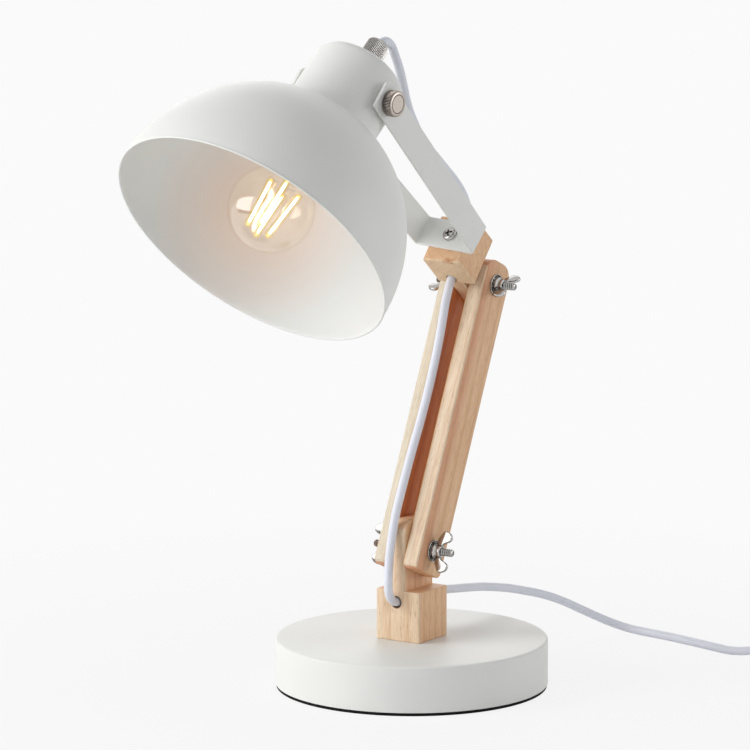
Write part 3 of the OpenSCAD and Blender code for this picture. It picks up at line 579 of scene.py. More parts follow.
def bent_strip():
    """The strip's section set square to the U's middle line. Towards each tip one edge draws in by
    tip_r (1 - cos q) along a quarter circle, which rounds that corner."""
    quarter = np.linspace(0, np.pi / 2, 10)[1:]
    half = half_line(quarter)
    line = np.vstack([(half * [-1, 1])[::-1], half[1:]])
    along = np.gradient(line, axis=0)
    along /= np.linalg.norm(along, axis=1)[:, None]
    out = np.stack([along[:, 1], -along[:, 0]], 1)
    section = rounded(box_corners(-strip_w / 2, -strip_t / 2, strip_w / 2, strip_t / 2), 0.42, 5)
    wide, thick = section[None, :, 0], section[None, :, 1]
    drawn = np.concatenate([np.zeros(len(half) - len(quarter)), tip_r * (1 - np.cos(quarter))])
    drawn = np.concatenate([drawn[::-1], drawn[1:]])
    across = wide - drawn[:, None] * (wide > 0)
    return capped(np.stack([line[:, :1] + out[:, :1] * thick, across, line[:, 1:] + out[:, 1:] * thick], -1))

bracket = finish_piece("painted_bracket", [put(bracket_at, bent_strip())], "bracket", ["bracket"],
                       40)

# %% [markdown]
# ## Shade
# The shade is a spun dome with a cup behind it. The dome's outline is a quarter of an ellipse that is
# widest at the rim, where the sheet is rolled over. A short sleeve inside the cup holds the dome.

# %% Shade
cup_r, cup_back, cup_front, cup_round, cup_t = 25.9, 18.1, 21.4, 5.2, 1.2
cup_line = rounded(
    [(5.05, -cup_back), (cup_r, -cup_back), (cup_r, cup_front + 0.6), (cup_r - cup_t, cup_front + 0.6),
     (cup_r - cup_t, -cup_back + cup_t), (5.05, -cup_back + cup_t)],
    [0.1, cup_round, 0.2, 0.2, cup_round - cup_t, 0.1], 13)
cup = finish_piece("painted_cup", [put(shade_at, lathe(cup_line, 144))], "shade", ["cup"], 40)

dome_r, dome_len, dome_t = 79.6, 80.0, 1.0
sleeve_in, sleeve_out, tuck = 23.65, 24.65, 0.2
rim_z = cup_front + dome_len
dome_c = dome_len / np.sqrt(1 - (cup_r / dome_r) ** 2)

def dome_line(start, stop, c, rows=64):
    """Height on an ellipse that is widest at the rim, rim - c sqrt(1 - (r / stop)^2), with more rows
    where the wall runs steep."""
    r = start + (stop - start) * np.sin(np.linspace(0, np.pi / 2, rows))
    return np.stack([r, rim_z - c * np.sqrt(np.maximum(0, 1 - (r / stop) ** 2))], 1)

roll = np.linspace(-0.5 * np.pi, 0.75 * np.pi, 9)
rim = np.stack([dome_r - 0.25 + 0.62 * np.cos(roll), rim_z + 0.55 + 0.62 * np.sin(roll)], 1)
sleeve = [(sleeve_in, cup_front - 8), (sleeve_out, cup_front - 8), (sleeve_out, cup_front - tuck)]
outer = dome_line(cup_r, dome_r, dome_c)
inner = dome_line(sleeve_in, dome_r - dome_t, dome_c - 1.6 * dome_t)
outer[0, 1] -= tuck
dome_wall = np.vstack([sleeve, outer, rim[1:], inner[::-1]])
dome = finish_piece("painted_dome", [put(shade_at, lathe(dome_wall, 192))], "shade", ["dome"],
                    40)

# %% [markdown]
# ## Tilt knob and nut
# A knurled knob clamps the cup on the right, so that fingers can turn it, and a low nut of the same
# pattern on the left. A knurl is a ripple round the radius, which fades out at the chamfers.

# %% Tilt knob and nut
def ribs(count, columns):
    """Ribs round a circle: the absolute sine of half of count turns, to the power 0.8, less 1, so a
    rib's top stays at 0 and a groove falls to -1."""
    return np.abs(np.sin(count * circle(columns) / 2)) ** 0.8 - 1.0

knob_d, knob_h, low_d, low_h = 14, 5.6, 10, 2.4
knob_start = leg_out + 0.6
knob_line = np.array([
    (0.01, 0), (5.2, 0), (6.3, 0.0), (6.75, 0.25), (7.0, 0.7), (7.0, 2.4), (7.0, 4.6), (6.85, 5.1),
    (6.5, 5.45), (6.1, 5.6), (5.2, 5.6), (5.05, 5.3), (4.85, 5.3), (4.7, 5.6), (0.01, 5.6)])
knob_depth = np.array([0, 0, 0, 0.25, 0.55, 0.6, 0.55, 0.4, 0.15, 0, 0, 0, 0, 0, 0])
pivot_pin = lathe(rod_profile(2.0, cup_r - 4.6, knob_start + 0.5), 32, False)
knobs = []
for hand, wide, high in [("left", low_d / knob_d, low_h / knob_h), ("right", 1, 1)]:
    place, node = inside(shade_at, TO_SIDE[hand]), "knob_" + hand
    head = lathe(knob_line * [wide, high], 432, False, ribs(54, 432), knob_depth * wide)
    parts = [put(inside(place, shift=(0, 0, knob_start)), head), put(place, pivot_pin)]
    knobs.append(finish_piece("knurled_" + node, parts, node, [node], 32))

# %% [markdown]
# ## Cord grip
# Behind the cup the cord passes through a grip: a collar with a knurled cap screwed over it, turned
# round the shade's own axis.

# %% Cord grip
grip_line = np.array([
    (4.66, -22.15), (6.1, -22.15), (6.3, -22.5), (6.3, -23.2), (6.3, -27.0), (6.3, -31.5), (6.3, -35.6),
    (6.2, -36.3), (5.7, -36.9), (5.2, -37.15), (3.5, -37.15), (3.1, -36.8), (3.1, -32.3), (4.66, -32.2)])
grip_depth = np.array([0, 0, 0.15, 0.42, 0.46, 0.46, 0.42, 0.2, 0, 0, 0, 0, 0, 0])
grip_shape = put(shade_at, lathe(grip_line, 360, True, ribs(45, 360), grip_depth))
grip_cap = finish_piece("knurled_grip", [grip_shape], "shade", ["grip_cap"], 32)
collar_line = rounded(
    [(5.06, -18.12), (6.5, -18.12), (6.5, -22.1), (4.6, -22.1), (4.6, -31.9), (3.1, -31.9), (3.1, -20.8),
     (5.06, -20.8)], [0.1, 0.1, 0.35, 0.1, 0.1, 0.1, 0.1, 0.1], 4)
grip_base = finish_piece("grip_collar", [put(shade_at, lathe(collar_line, 72))], "shade", ["grip_base"],
                         40)

# %% [markdown]
# ## Bracket screw
# One screw with a cross in its head holds the bracket on the wood. The head is a low dome, and its
# cross is a height field: where a point lies within a slot of either arm, the height drops.

# %% Bracket screw
def cross_screw(columns=128, cross_turn=0.35):
    """Low dome, 2.55 less 0.062 r squared, over a short rim. It drops where |x| is within half a slot's
    width and |y| within its reach, or the other way round."""
    half_slot, slot_reach = 0.62, 2.25
    crown = np.linspace(0.01, 3.5, 44)
    r = np.concatenate([crown, [3.68, 3.84, 3.95, 4.0, 4.0, 3.9, 2.0]])[:, None]
    top = np.concatenate([2.55 - 0.062 * crown ** 2, [1.6, 1.42, 1.2, 0.95, 0.3, 0.05, 0.05]])[:, None]
    a = circle(columns) - cross_turn
    x, y = np.abs(r * np.cos(a)), np.abs(r * np.sin(a))
    slots = [np.clip((half_slot - u) / 0.16, 0, 1) * np.clip((slot_reach - v) / 0.5, 0, 1)
             for u, v in [(x, y), (y, x)]]
    drop = np.maximum(*slots) * np.clip(1.55 - 0.42 * r, 0.25, None) * (r < 3)
    return rings(turned(np.repeat(r, columns, 1), strip_t + top - drop))

screw_place = inside(head_at, shift=(0, screw_at, head_end))
shank = lathe(rod_profile(2.0, -8.4, 1.7), 32, False)
screw = finish_piece("cross_screw", [put(screw_place, cross_screw()), put(screw_place, shank)], "head",
                     ["bracket_screw"], 28)

# %% [markdown]
# ## The bulb's globe and cap
# A clear globe stands in the lampholder. The glass is drawn as an outer and an inner wall: a neck, a
# shoulder and most of a circle. Its cap has a round thread, a sine wave that climbs as it turns.

# %% Globe and cap
bulb_r, bulb_z, glass_t, cap_top = 23.2, 80.6, 0.8, 49.0
neck_r, neck_z, join = 12.3, cap_top + 3, np.radians(128)

def glass_line(d, rows=40):
    """Neck, a shoulder that widens by 0.35 s + 0.65 s^2, then a circle to the tip, all drawn in by d."""
    s = np.linspace(0, 1, 12)[1:-1]
    join_r, join_z = bulb_r * np.sin(join), bulb_z + bulb_r * np.cos(join)
    shoulder_r = neck_r + (join_r - neck_r) * (0.35 * s + 0.65 * s * s) - d
    shoulder = np.stack([shoulder_r, neck_z + (join_z - neck_z) * s], 1)
    a = np.linspace(join, 0, rows)
    globe = np.stack([np.maximum((bulb_r - d) * np.sin(a), 0.005), bulb_z + (bulb_r - d) * np.cos(a)], 1)
    return np.vstack([[(neck_r - d, cap_top - 6), (neck_r - d, neck_z)], shoulder, globe])

def cap_thread(columns=72):
    """Round thread of the cap, between a plain foot and a plain collar: radius 12.9 plus 0.3 times the
    sine of (height over 3.6 mm less the turn)."""
    z = np.linspace(30.5, 46.5, 70)[:, None]
    r = 12.9 + 0.3 * np.sin(2 * np.pi * z / 3.6 - circle(columns)[None, :])
    foot = np.array([(9.0, 28.0), (11.9, 28.0), (12.4, 29.2)])
    collar = np.array([(12.9, 47.6), (12.7, 49.0), (12.32, 49.0)])
    r = np.vstack([np.repeat(foot[:, :1], columns, 1), r, np.repeat(collar[:, :1], columns, 1)])
    return rings(turned(r, np.vstack([foot[:, 1:], z, collar[:, 1:]])))

glass_wall = np.vstack([glass_line(0), glass_line(glass_t)[::-1]])
bulb_glass = finish_piece("bulb_globe", [put(shade_at, lathe(glass_wall, 96))], "shade", ["bulb_glass"],
                          50)

# %% [markdown]
# ## Filaments and stem
# Each filament is a thin glowing rod between two wire arms, with a faint halo of its own round it,
# because a camera sees a lit filament wider than it is. A glass stem inside carries the wires.

# %% Filaments and stem
cage_turn, near_r, far_r, filament_len = 54.0, 8.4, 6.0, 30
spread = np.radians(cage_turn + 90 * np.arange(4))

def rod_between(angle, radius, over):
    """Round-ended rod on the line from a filament's near end to its far end, longer by over at both."""
    slant = np.degrees(np.arctan2(near_r - far_r, filament_len))
    half, middle_r = np.hypot(near_r - far_r, filament_len) / 2 + over, (near_r + far_r) / 2
    centre = (middle_r * np.cos(angle), middle_r * np.sin(angle), bulb_z)
    middle = inside(shade_at, turn_z(np.degrees(angle)), centre)
    line = rounded(rod_profile(radius, -half, half), [0.002, 0.8 * radius, 0.8 * radius, 0.002], 6)
    return put(inside(middle, turn_y(slant)), lathe(line, 24))

def wire(angle, end, r):
    """Thin wire with a small bow from the stem out to one end of a filament."""
    c, s, z = np.cos(angle), np.sin(angle), bulb_z + end * 15.2
    bow = [(0.4 * c, 0.4 * s, z - 0.5 * end), (4 * c, 4 * s, z + 0.5 * end), (r * c, r * s, z)]
    return put(shade_at, tube(smooth_path(bow, 0.8), 0.22, 8, (0, 0, 1)))

filaments = finish_piece("lit_filaments", [rod_between(b, 0.65, 0) for b in spread], "shade", ["filaments"],
                         60)
halos = build_mesh("filament_halos", [rod_between(b, 2.3, 1.0) for b in spread], 60)
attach(halos, "shade")
stem_line = rounded(
    [(0.01, cap_top - 6), (11.3, cap_top - 6), (5.2, cap_top + 1), (2.2, cap_top + 12), (0.8, cap_top + 15),
     (0.7, bulb_z + 16), (0.01, bulb_z + 17)], [0.002, 0.2, 3, 2, 1, 0.1, 0.002], 6)
wires = [wire(b, end, r) for b in spread for end, r in [(-1, near_r), (1, far_r)]]
stem = finish_piece("bulb_stem_and_wires", [put(shade_at, lathe(stem_line, 40))] + wires, "shade",
                    ["bulb_stem"], 40)
bulb_cap = finish_piece("bulb_cap_thread", [put(shade_at, cap_thread())], "shade", ["bulb_cap"], 50)

# %% [markdown]
# ## The switch on the cord
# Moulded plastic has soft edges everywhere, because a mould with sharp corners would not let go. The
# switch's two halves are outlines with wide eased edges, with a grooved sleeve at both ends and a
# rocker that lies tipped in a well.

# %% Switch
switch_at = inside(desk_at, turn_z(-16.2), (182, 140, 0))
switch_line = rounded(box_corners(-31, -12.5, 31, 12.5), 8, 9)
opening = rounded(box_corners(-11, -6.4, 11, 6.4), 1.0, 5)
joint_low, joint_high, switch_top_z = 8.55, 8.65, 17.6

def nub(side):
    """Tapered sleeve at a switch's end, with three grooves: radius falls from 5 to 3.6 less a ripple."""
    s = np.linspace(0, 1, 29)
    r = 5 - 1.4 * s - 0.3 * np.clip(np.sin(s * 6 * np.pi), 0, None) * (s > 0.15)
    line = np.vstack([np.stack([r, -2 + 9 * s], 1), [(3.2, 7.0), (2.6, 6.6), (2.6, -2)]])
    turn = np.array([[0, 0, side], [0, side, 0], [-1, 0, 0]], float)
    return put((turn, np.array([side * 31, 0, 8.6])), lathe(line, 40))

def switch_half(low, high, top):
    """Outline stacked up from the joint, drawn in by a fine quarter round there and by a wide one at
    the outer face. The top half has a well for the rocker."""
    a = np.linspace(0, np.pi / 2, 9)
    wide, fine, lip = 3.2, 0.3, 0.3
    depth = np.concatenate([fine * (1 - np.sin(a[::4])), wide * (1 - np.cos(a))])
    level = np.concatenate([low + fine * (1 - np.cos(a[::4])), high - wide + wide * np.sin(a)])
    if not top:
        return capped(stacked(switch_line, depth, low + high - level))
    points, faces = rings(stacked(switch_line, depth, level))
    start, n, k = len(points), len(switch_line), len(opening)
    well = stacked(opening, (-lip, 0, 0), (high, high - lip, low))
    points = np.vstack([points, well.reshape(-1, 3)])
    faces += [f + start for f in grid_faces(len(well), k)]
    faces += fill_between(points, [start - n + np.arange(n), start + np.arange(k)])
    faces += fill_between(points, [np.arange(n), start + 2 * k + np.arange(k)])
    return points, faces

top_parts = [put(switch_at, switch_half(joint_high, switch_top_z, True))]
switch_top = finish_piece("switch_top_half", top_parts, "base", ["switch_top"], 40)
bottom_parts = [put(switch_at, part) for part in (switch_half(0.0, joint_low, False), nub(1), nub(-1))]
switch_bottom = finish_piece("switch_bottom_half", bottom_parts, "base", ["switch_bottom"],
                             40)

rocker_tip, rocker_pivot = 6, (0, 0, 13.6)
rocker_line = cut_corners(np.array([
    (-10.2, 1.2), (-3, -3), (3, -3), (10.2, 1.2), (10.3, 5.4), (5, 4.2), (0, 4.0), (-5, 4.2),
    (-10.3, 5.4)]), 2)
axle = lathe(rounded(rod_profile(1.2, -10.3, 10.3), [0.002, 0.2, 0.2, 0.002], 4), 24)
rocker = finish_piece("switch_rocker", [
    put(inside(switch_at, turn_y(rocker_tip) @ FRONT, rocker_pivot), board(rocker_line, -5.9, 5.9, 0.5)),
    put(inside(switch_at, FRONT, rocker_pivot), axle)], "rocker", ["rocker"], 40)

# %% [markdown]
# ## Plug and tie
# The plug is a row of rounded sections joined into one skin, and its boot has grooves so that it can bend. A
# flat band ties the coil.

# %% Plug and tie
plug_at = inside(desk_at, turn_z(np.degrees(plug_turn)), boot_at)
along_plug = np.array([[0, 0, 1], [0, 1, 0], [-1, 0, 0]], float)
boot_len, plug_start, pin_gap = 26.6, 26, 9.3

def plug_skin(rows=60, sides=56):
    """Sections along the plug, each a superellipse of power 4 with its own half width and height:
    width times the signed root of |cos a|, height times that of |sin a|."""
    s = np.array([0, 1.0, 3.5, 7, 10.5, 14, 19, 25, 30, 32.6, 33.7, 34])
    wide = np.array([5.4, 6.6, 8.4, 11.6, 14.9, 17.0, 17.35, 17.0, 16.2, 15.7, 15.0, 13.6])
    high = np.array([4.9, 5.6, 6.2, 6.6, 6.8, 6.85, 6.85, 6.85, 6.75, 6.5, 6.0, 4.8])
    along = np.linspace(0, s[-1], rows)
    c, q = np.cos(circle(sides)), np.sin(circle(sides))
    y = np.interp(along, s, wide)[:, None] * np.sign(c) * np.abs(c) ** 0.5
    z = np.interp(along, s, high)[:, None] * np.sign(q) * np.abs(q) ** 0.5
    return capped(np.stack([np.repeat(plug_start + along[:, None], sides, 1), y, z], -1))

def tie_band():
    """Flat band carried round a rounded box that holds all the coil's turns."""
    inner = rounded(box_corners(16.2, 0.45, 42.8, 12.6), 4.2, 9)
    outer = drawn_in(inner, -0.55)
    lip, crown = drawn_in(inner, -0.1), drawn_in(outer, -0.1)
    rows = [(inner, -3.6), (inner, 3.6), (lip, 3.9), (outer, 3.9), (crown, 3.6), (crown, -3.6), (outer, -3.9),
            (lip, -3.9)]
    return rings(np.stack([np.column_stack([p[:, 0], np.full(len(p), y), p[:, 1]]) for p, y in rows]), True)

s = np.linspace(0, 1, 73)
boot_r = 3.5 + 2.1 * s - 0.5 * np.clip(np.sin(s * 14 * np.pi), 0, None) * (s > 0.1)
boot_line = np.vstack([[(2.6, 0)], np.stack([boot_r, boot_len * s], 1), [(2.6, boot_len)]])
plug_parts = [put(plug_at, plug_skin()), put(inside(plug_at, along_plug), lathe(boot_line, 48))]
plug_body = finish_piece("plug_skin_and_boot", plug_parts, "base", ["plug_body"], 40)
pin_line = rounded([(0.01, 52), (2.0, 52), (2.0, 77.6), (1.3, 78.9), (0.01, 79)],
                   [0.002, 0.1, 0.8, 0.5, 0.002], 6)
pins = [put(inside(plug_at, along_plug, (0, side * pin_gap, 0)), lathe(pin_line, 32)) for side in (-1, 1)]
plug_pins = finish_piece("plug_pin_pair", pins, "base", ["plug_pins"], 40)
tie_at = inside(desk_at, turn_z(205), (*coil_at, 0))
coil_tie = finish_piece("coil_tie_band", [put(tie_at, tie_band())], "base", ["coil_tie"], 40)

# %% [markdown]
# ## Finishes
# Every finish is worked out from where a point lies on its piece, so it has no seams and holds from
# any side. These helpers make a material with one main shader and add texture nodes to it. What is
# the same all over stays a plain number on the shader, and only what varies comes from nodes.

# %% Material helpers
def finish_of(name, colour, roughness, metal=0.0):
    """New material with a principled shader; returns it with its tree and shader."""
    material = bpy.data.materials.new(name)
    material.use_nodes = True
    tree = material.node_tree
    shader = tree.nodes["Principled BSDF"]
    shader.inputs["Base Color"].default_value = (*colour, 1)
    shader.inputs["Roughness"].default_value = roughness
    shader.inputs["Metallic"].default_value = metal
    return material, tree, shader

def feed(tree, socket, value):
    """A socket takes a value, or a link from a (node, output)."""
    if isinstance(value, tuple) and hasattr(value[0], "outputs"):
        tree.links.new(value[0].outputs[value[1]], socket)
    else:
        socket.default_value = value

def add(tree, kind, settings=None, **sockets):
    """Node of a kind with its settings; sockets go by name, or by number after an underscore."""
    made = tree.nodes.new("ShaderNode" + kind)
    for key, value in (settings or {}).items():
        setattr(made, key, value)
    for key, value in sockets.items():
        key = int(key[1:]) if key[0] == "_" else key.replace("_", " ")
        feed(tree, made.inputs[key], value)
    return made

def wear(obj, material):
    """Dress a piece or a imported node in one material."""
    obj.data.materials.clear()
    obj.data.materials.append(material)

print("material helpers ready")

# %% [markdown]
# ## Patterns
# A pattern starts from the piece's own coordinates, moved, turned and scaled. Noise gives grains of a
# chosen size. A ramp turns a number into colours, a map range turns it into another number, and a
# bump raises the surface by it.

# %% Pattern helpers
NO_TURN, AT_ORIGIN = (0, 0, 0), (0, 0, 0)

def even(size):
    """The same size along all three axes."""
    return (size, size, size)

def place_on(tree, scale, turn=NO_TURN, origin=AT_ORIGIN):
    """The piece's own coordinates, moved to an origin, turned back by a turn and divided by a scale in
    metres."""
    spot = add(tree, "TexCoord")
    return add(tree, "Mapping", {"vector_type": "TEXTURE"}, Vector=(spot, "Object"), Location=origin,
               Rotation=turn, Scale=scale)

def how_far(tree, scale, turn, origin):
    """Distance from an origin, counted in scales."""
    spot = place_on(tree, scale, turn, origin)
    return add(tree, "VectorMath", {"operation": "LENGTH"}, _0=(spot, "Vector"))

def grains(tree, scale, detail=2.0, rough=0.5, turn=NO_TURN, origin=AT_ORIGIN):
    """Smooth noise whose grains measure scale metres along each axis."""
    spot = place_on(tree, scale, turn, origin)
    return add(tree, "TexNoise", None, Vector=(spot, "Vector"), Scale=1.0, Detail=detail, Roughness=rough)

def ramp(tree, source, stops, output="Fac"):
    """Colours read off a number: stops are (place, colour)."""
    made = add(tree, "ValToRGB", None, Fac=(source, output))
    band = made.color_ramp
    while len(band.elements) < len(stops):
        band.elements.new(0.5)
    for element, (at, colour) in zip(band.elements, stops):
        element.position = at
        element.color = (*colour, 1)
    return made

def between(tree, source, low, high, start=0.3, stop=0.7, output="Fac"):
    """Number that runs from low to high as the source runs from start to stop."""
    return add(tree, "MapRange", None, Value=(source, output), From_Min=start, From_Max=stop, To_Min=low,
               To_Max=high)

def blend_colours(tree, first, second, share, mode="MIX"):
    """Two colours mixed by a share; each is a value or a (node, output)."""
    return add(tree, "Mix", {"data_type": "RGBA", "blend_type": mode}, _0=share, _6=first, _7=second)

def bumpy(tree, shader, source, height, strength, over=None):
    """Surface raised by a noise, height in metres, over another bump if there is one."""
    made = add(tree, "Bump", None, Height=(source, "Fac"), Strength=strength, Distance=height)
    if over is not None:
        feed(tree, made.inputs["Normal"], (over, "Normal"))
    feed(tree, shader.inputs["Normal"], (made, "Normal"))
    return made

print("pattern helpers ready")

# %% [markdown]
# ## Wood grain
# A board is cut from a log, so its lines are rings about the log's heart, which lies outside the
# board. Rings about an axis that runs with the piece give straight lines along its sides and arcs on
# its ends at once. Fine fibres and short dark pores run the same way, and a slow noise lets the tone
# drift.

# %% Rings, fibres and pores
PALE_WOOD, MID_WOOD, WARM_WOOD = (0.86, 0.715, 0.545), (0.815, 0.650, 0.475), (0.765, 0.575, 0.400)
RING_WOOD, PORE_WOOD, WHITE = (0.610, 0.400, 0.250), (0.430, 0.255, 0.150), (1.0, 1.0, 1.0)
MULTIPLY = "MULTIPLY"

def ringed(tree, turn, heart, ring, lines):
    """Colour of the rings, one to each ring metres from the heart, mixed by lines into a slow drift."""
    log = place_on(tree, (0.001, 0.001, 0.022), turn, heart)
    rings_of = {"wave_type": "RINGS", "rings_direction": "Z", "wave_profile": "SAW"}
    saw = add(tree, "TexWave", rings_of, Vector=(log, "Vector"), Scale=0.314 / (ring * 1000), Distortion=3.4,
              Detail=2.0, Detail_Scale=0.32, Detail_Roughness=0.55)
    tone = ramp(tree, saw, [(0.0, PALE_WOOD), (0.45, PALE_WOOD), (0.80, WARM_WOOD), (0.93, RING_WOOD),
                            (1.0, PALE_WOOD)])
    slow = grains(tree, (0.011, 0.011, 0.10), 2.0, 0.5, turn, heart)
    body = ramp(tree, slow, [(0.30, PALE_WOOD), (0.52, MID_WOOD), (0.72, WARM_WOOD)])
    return blend_colours(tree, (body, "Color"), (tone, "Color"), lines)

def fibred(tree, colour, turn, heart):
    """Fine fibres and short dark pores over a colour; also returns the two noises."""
    fibre = grains(tree, (0.00035, 0.00035, 0.011), 3.0, 0.6, turn, heart)
    streak = ramp(tree, fibre, [(0.28, (0.74, 0.66, 0.60)), (0.5, (0.97, 0.95, 0.93)), (0.72, WHITE)])
    lined = blend_colours(tree, (colour, 2), (streak, "Color"), 1.0, MULTIPLY)
    elsewhere = (heart[0] + 0.5, heart[1], heart[2])
    pores = grains(tree, (0.00055, 0.00055, 0.0065), 1.0, 0.5, turn, elsewhere)
    dark = between(tree, pores, 0.0, 0.55, 0.64, 0.73)
    return blend_colours(tree, (lined, 2), (*PORE_WOOD, 1), (dark, "Result")), fibre, pores

print("wood colours", PALE_WOOD, "to", RING_WOOD)

# %% [markdown]
# ## Marks and painted shade on the wood
# The head block has a small knot, the lower block's cord hole is painted dark inside as shade, and the fronts
# are paler than the sides. A skin tints a piece by the depth below one of its faces, so the tint stays on
# that face from wherever the lamp is seen.

# %% Knot, hole, skins
KNOT, KNOT_RIM, HOLE_SHADE = (0.60, 0.36, 0.24), (0.66, 0.42, 0.30), (0.06, 0.03, 0.016, 1)

def with_knot(tree, colour, turn, place, size):
    """Dark eye and one ring about a place; a noise roughens the distance that they follow."""
    gap = how_far(tree, size, turn, place)
    wild = grains(tree, even(0.0024), 2.0, 0.5, turn, place)
    reach = add(tree, "Math", {"operation": "MULTIPLY_ADD"}, _0=(wild, "Fac"), _1=2.4, _2=(gap, "Value"))
    stops = [(0.0, KNOT), (0.22, KNOT_RIM), (0.32, (0.94, 0.85, 0.78)), (0.46, KNOT_RIM),
             (0.62, (0.95, 0.88, 0.82)), (1.0, WHITE)]
    eye = ramp(tree, between(tree, reach, 0.0, 1.0, 1.0, 2.6, "Value"), stops, "Result")
    return blend_colours(tree, (colour, 2), (eye, "Color"), 1.0, MULTIPLY)

def with_hole_shade(tree, colour, place, turn):
    """Painted shade on the wall of a hole: dark within 3.35 mm of its axis and plain beyond 3.7 mm."""
    gap = how_far(tree, (0.001, 0.001, 1000.0), turn, place)
    dark = between(tree, gap, 0.88, 0.0, 3.35, 3.7, "Value")
    return blend_colours(tree, (colour, 2), HOLE_SHADE, (dark, "Result"))

def with_skin(tree, colour, axis, scale, turn, origin, stops):
    """Tint by the depth below a face: stops are (millimetres along the axis from the origin, colour)."""
    spot = place_on(tree, scale, turn, origin)
    apart = add(tree, "SeparateXYZ", None, Vector=(spot, "Vector"))
    deepest = stops[-1][0]
    deep = between(tree, apart, 0.0, 1.0, 0.0, deepest, axis)
    tint = ramp(tree, deep, [(at / deepest, shade) for at, shade in stops], "Result")
    return blend_colours(tree, (colour, 2), (tint, "Color"), 1.0, MULTIPLY)

def wood(name, turn, heart, ring, skins, lines=0.42, knot=None, hole=None):
    """Rings, fibres and pores, then a knot or a hole's painted shade if there is one, then the faces' skins.
    """
    material, tree, shader = finish_of(name, PALE_WOOD, 0.5)
    shader.inputs["Specular IOR Level"].default_value = 0.35
    colour, fibre, pores = fibred(tree, ringed(tree, turn, heart, ring, lines), turn, heart)
    if knot is not None:
        colour = with_knot(tree, colour, turn, *knot)
    if hole is not None:
        colour = with_hole_shade(tree, colour, *hole)
    for skin in skins:
        colour = with_skin(tree, colour, *skin)
    feed(tree, shader.inputs["Base Color"], (colour, 2))
    feed(tree, shader.inputs["Roughness"], (between(tree, fibre, 0.56, 0.42), "Result"))
    first = bumpy(tree, shader, fibre, 0.00006, 0.7)
    bumpy(tree, shader, pores, 0.00004, 0.5, first)
    return material

print("wood finish ready")

# %% [markdown]
# ## Each board its own cut
# No two boards come from the same place in a log, so each has its own heart, ring width and turn. The inner
# faces of the slats, which look at each other across the gap, carry painted shade: they are tinted warmer and
# darker.

# %% Wood on the pieces
rad = np.radians
ONE, BACK = (0.001, 0.001, 0.001), (-0.001, 0.001, 0.001)
FAIR, HONEY, CREAM = (1.0, 0.925, 0.83), (0.98, 0.95, 0.92), (0.86, 0.945, 1.0)
# The third colour here tints the slats' inner faces as painted shade in the gap.
RUDDY, TAN, INNER_SHADE = (0.885, 0.60, 0.47), (0.985, 0.785, 0.635), (0.95, 0.70, 0.45)
arm_turn, head_turn = (-rad(lean), 0, 0), (rad(90 - head_up), 0, 0)
gap_half = 4.8

def metres(frame, point):
    """A point given in a frame in millimetres, in metres on the desk."""
    return in_metres(put(frame, (np.array([point], float), []))[0][0])

def front_face(turn, origin, colour, deepest):
    """Skin of a block's front: its colour for 0.8 mm below the face, then tan."""
    return "Y", ONE, turn, origin, [(0, colour), (0.8, colour), (1.5, TAN), (deepest, TAN)]

def slat_face(colour):
    """Skin of a slat's front edge: its colour, then ruddy wood that turns tan towards the back."""
    stops = [(0, colour), (0.7, colour), (1.2, RUDDY), (6.0, RUDDY), (10.5, TAN), (26, TAN)]
    return "Y", ONE, arm_turn, metres(arm_at, (0, -13, 0)), stops

def gap_face(scale, side):
    """Skin of a slat's inner face, painted shade of the gap: warm and darker for 0.6 mm below it, then plain.
    """
    stops = [(0, INNER_SHADE), (0.6, INNER_SHADE), (1.1, WHITE), (10, WHITE)]
    return "X", scale, arm_turn, metres(arm_at, (side * gap_half, 0, 0)), stops

block_face = front_face(NO_TURN, (0, -0.014, 0), HONEY, 28)
head_face = front_face(head_turn, metres(head_at, (0, -9.8, 0)), FAIR, 29)
head_knot = (metres(head_at, (5.2, -9.4, head_end - 0.4)), (0.0042, 0.0026, 0.0022))
# Painted shade inside the lower block's cord hole.
block_hole_shade = ((-0.001, 0.0, 0.0488), (rad(90), 0, 0))
wear(lower_block, wood("wood_upright", NO_TURN, (-0.030, 0.055, 0.0), 0.0046, [block_face], hole=block_hole_shade))
wear(slats[0], wood("wood_slat_a", arm_turn, metres(arm_at, (-60, 20, 0)), 0.0052,
                    [slat_face(CREAM), gap_face(BACK, -1)]))
wear(slats[1], wood("wood_slat_b", (-rad(lean), rad(1.5), 0), metres(arm_at, (46, -30, 40)), 0.0058,
                    [slat_face(WHITE), gap_face(ONE, 1)]))
wear(head_block, wood("wood_head", (rad(90 - head_up) - rad(38), rad(8), 0), metres(head_at, (30, 42, 0)),
                      0.0040, [head_face], 0.20, head_knot))
print("wood on", 2 + len(slats), "pieces")

# %% [markdown]
# ## White paint
# White baked paint is never quite flat: it has a very fine orange peel, and its gloss drifts a little.
# Inside the dome the paint carries painted light: a warm glow that stands for the lit bulb's light on the
# wall behind it, on walls that look at the bulb, fading with the distance from one place.

# %% Paint
PAINT = (0.80, 0.803, 0.772)
# Painted light: reach in millimetres and colours of the warm glow that stands for the bulb's light on the
# dome's inner wall.
GLOW_FROM, GLOW_TO = 20.0, 65.0
BULB_GLOW = [(0.0, (0.86, 0.715, 0.625)), (0.5, (0.825, 0.765, 0.72)), (1.0, (0.79, 0.806, 0.80))]

def painted_bulb_glow(tree, tint, bulb, glow_at):
    """Painted glow of the bulb's light: a warm colour by the distance from its centre, where the wall's
    normal points towards the bulb.
    """
    gap = how_far(tree, ONE, NO_TURN, glow_at)
    warm = ramp(tree, between(tree, gap, 0.0, 1.0, GLOW_FROM, GLOW_TO, "Value"), BULB_GLOW, "Result")
    from_bulb = place_on(tree, ONE, NO_TURN, bulb)
    normal = add(tree, "TexCoord")
    facing = add(tree, "VectorMath", {"operation": "DOT_PRODUCT"}, _0=(from_bulb, "Vector"),
                 _1=(normal, "Normal"))
    towards = between(tree, facing, 1.0, 0.0, -6.0, 2.0, "Value")
    return blend_colours(tree, (tint, "Color"), (warm, "Color"), (towards, "Result"))

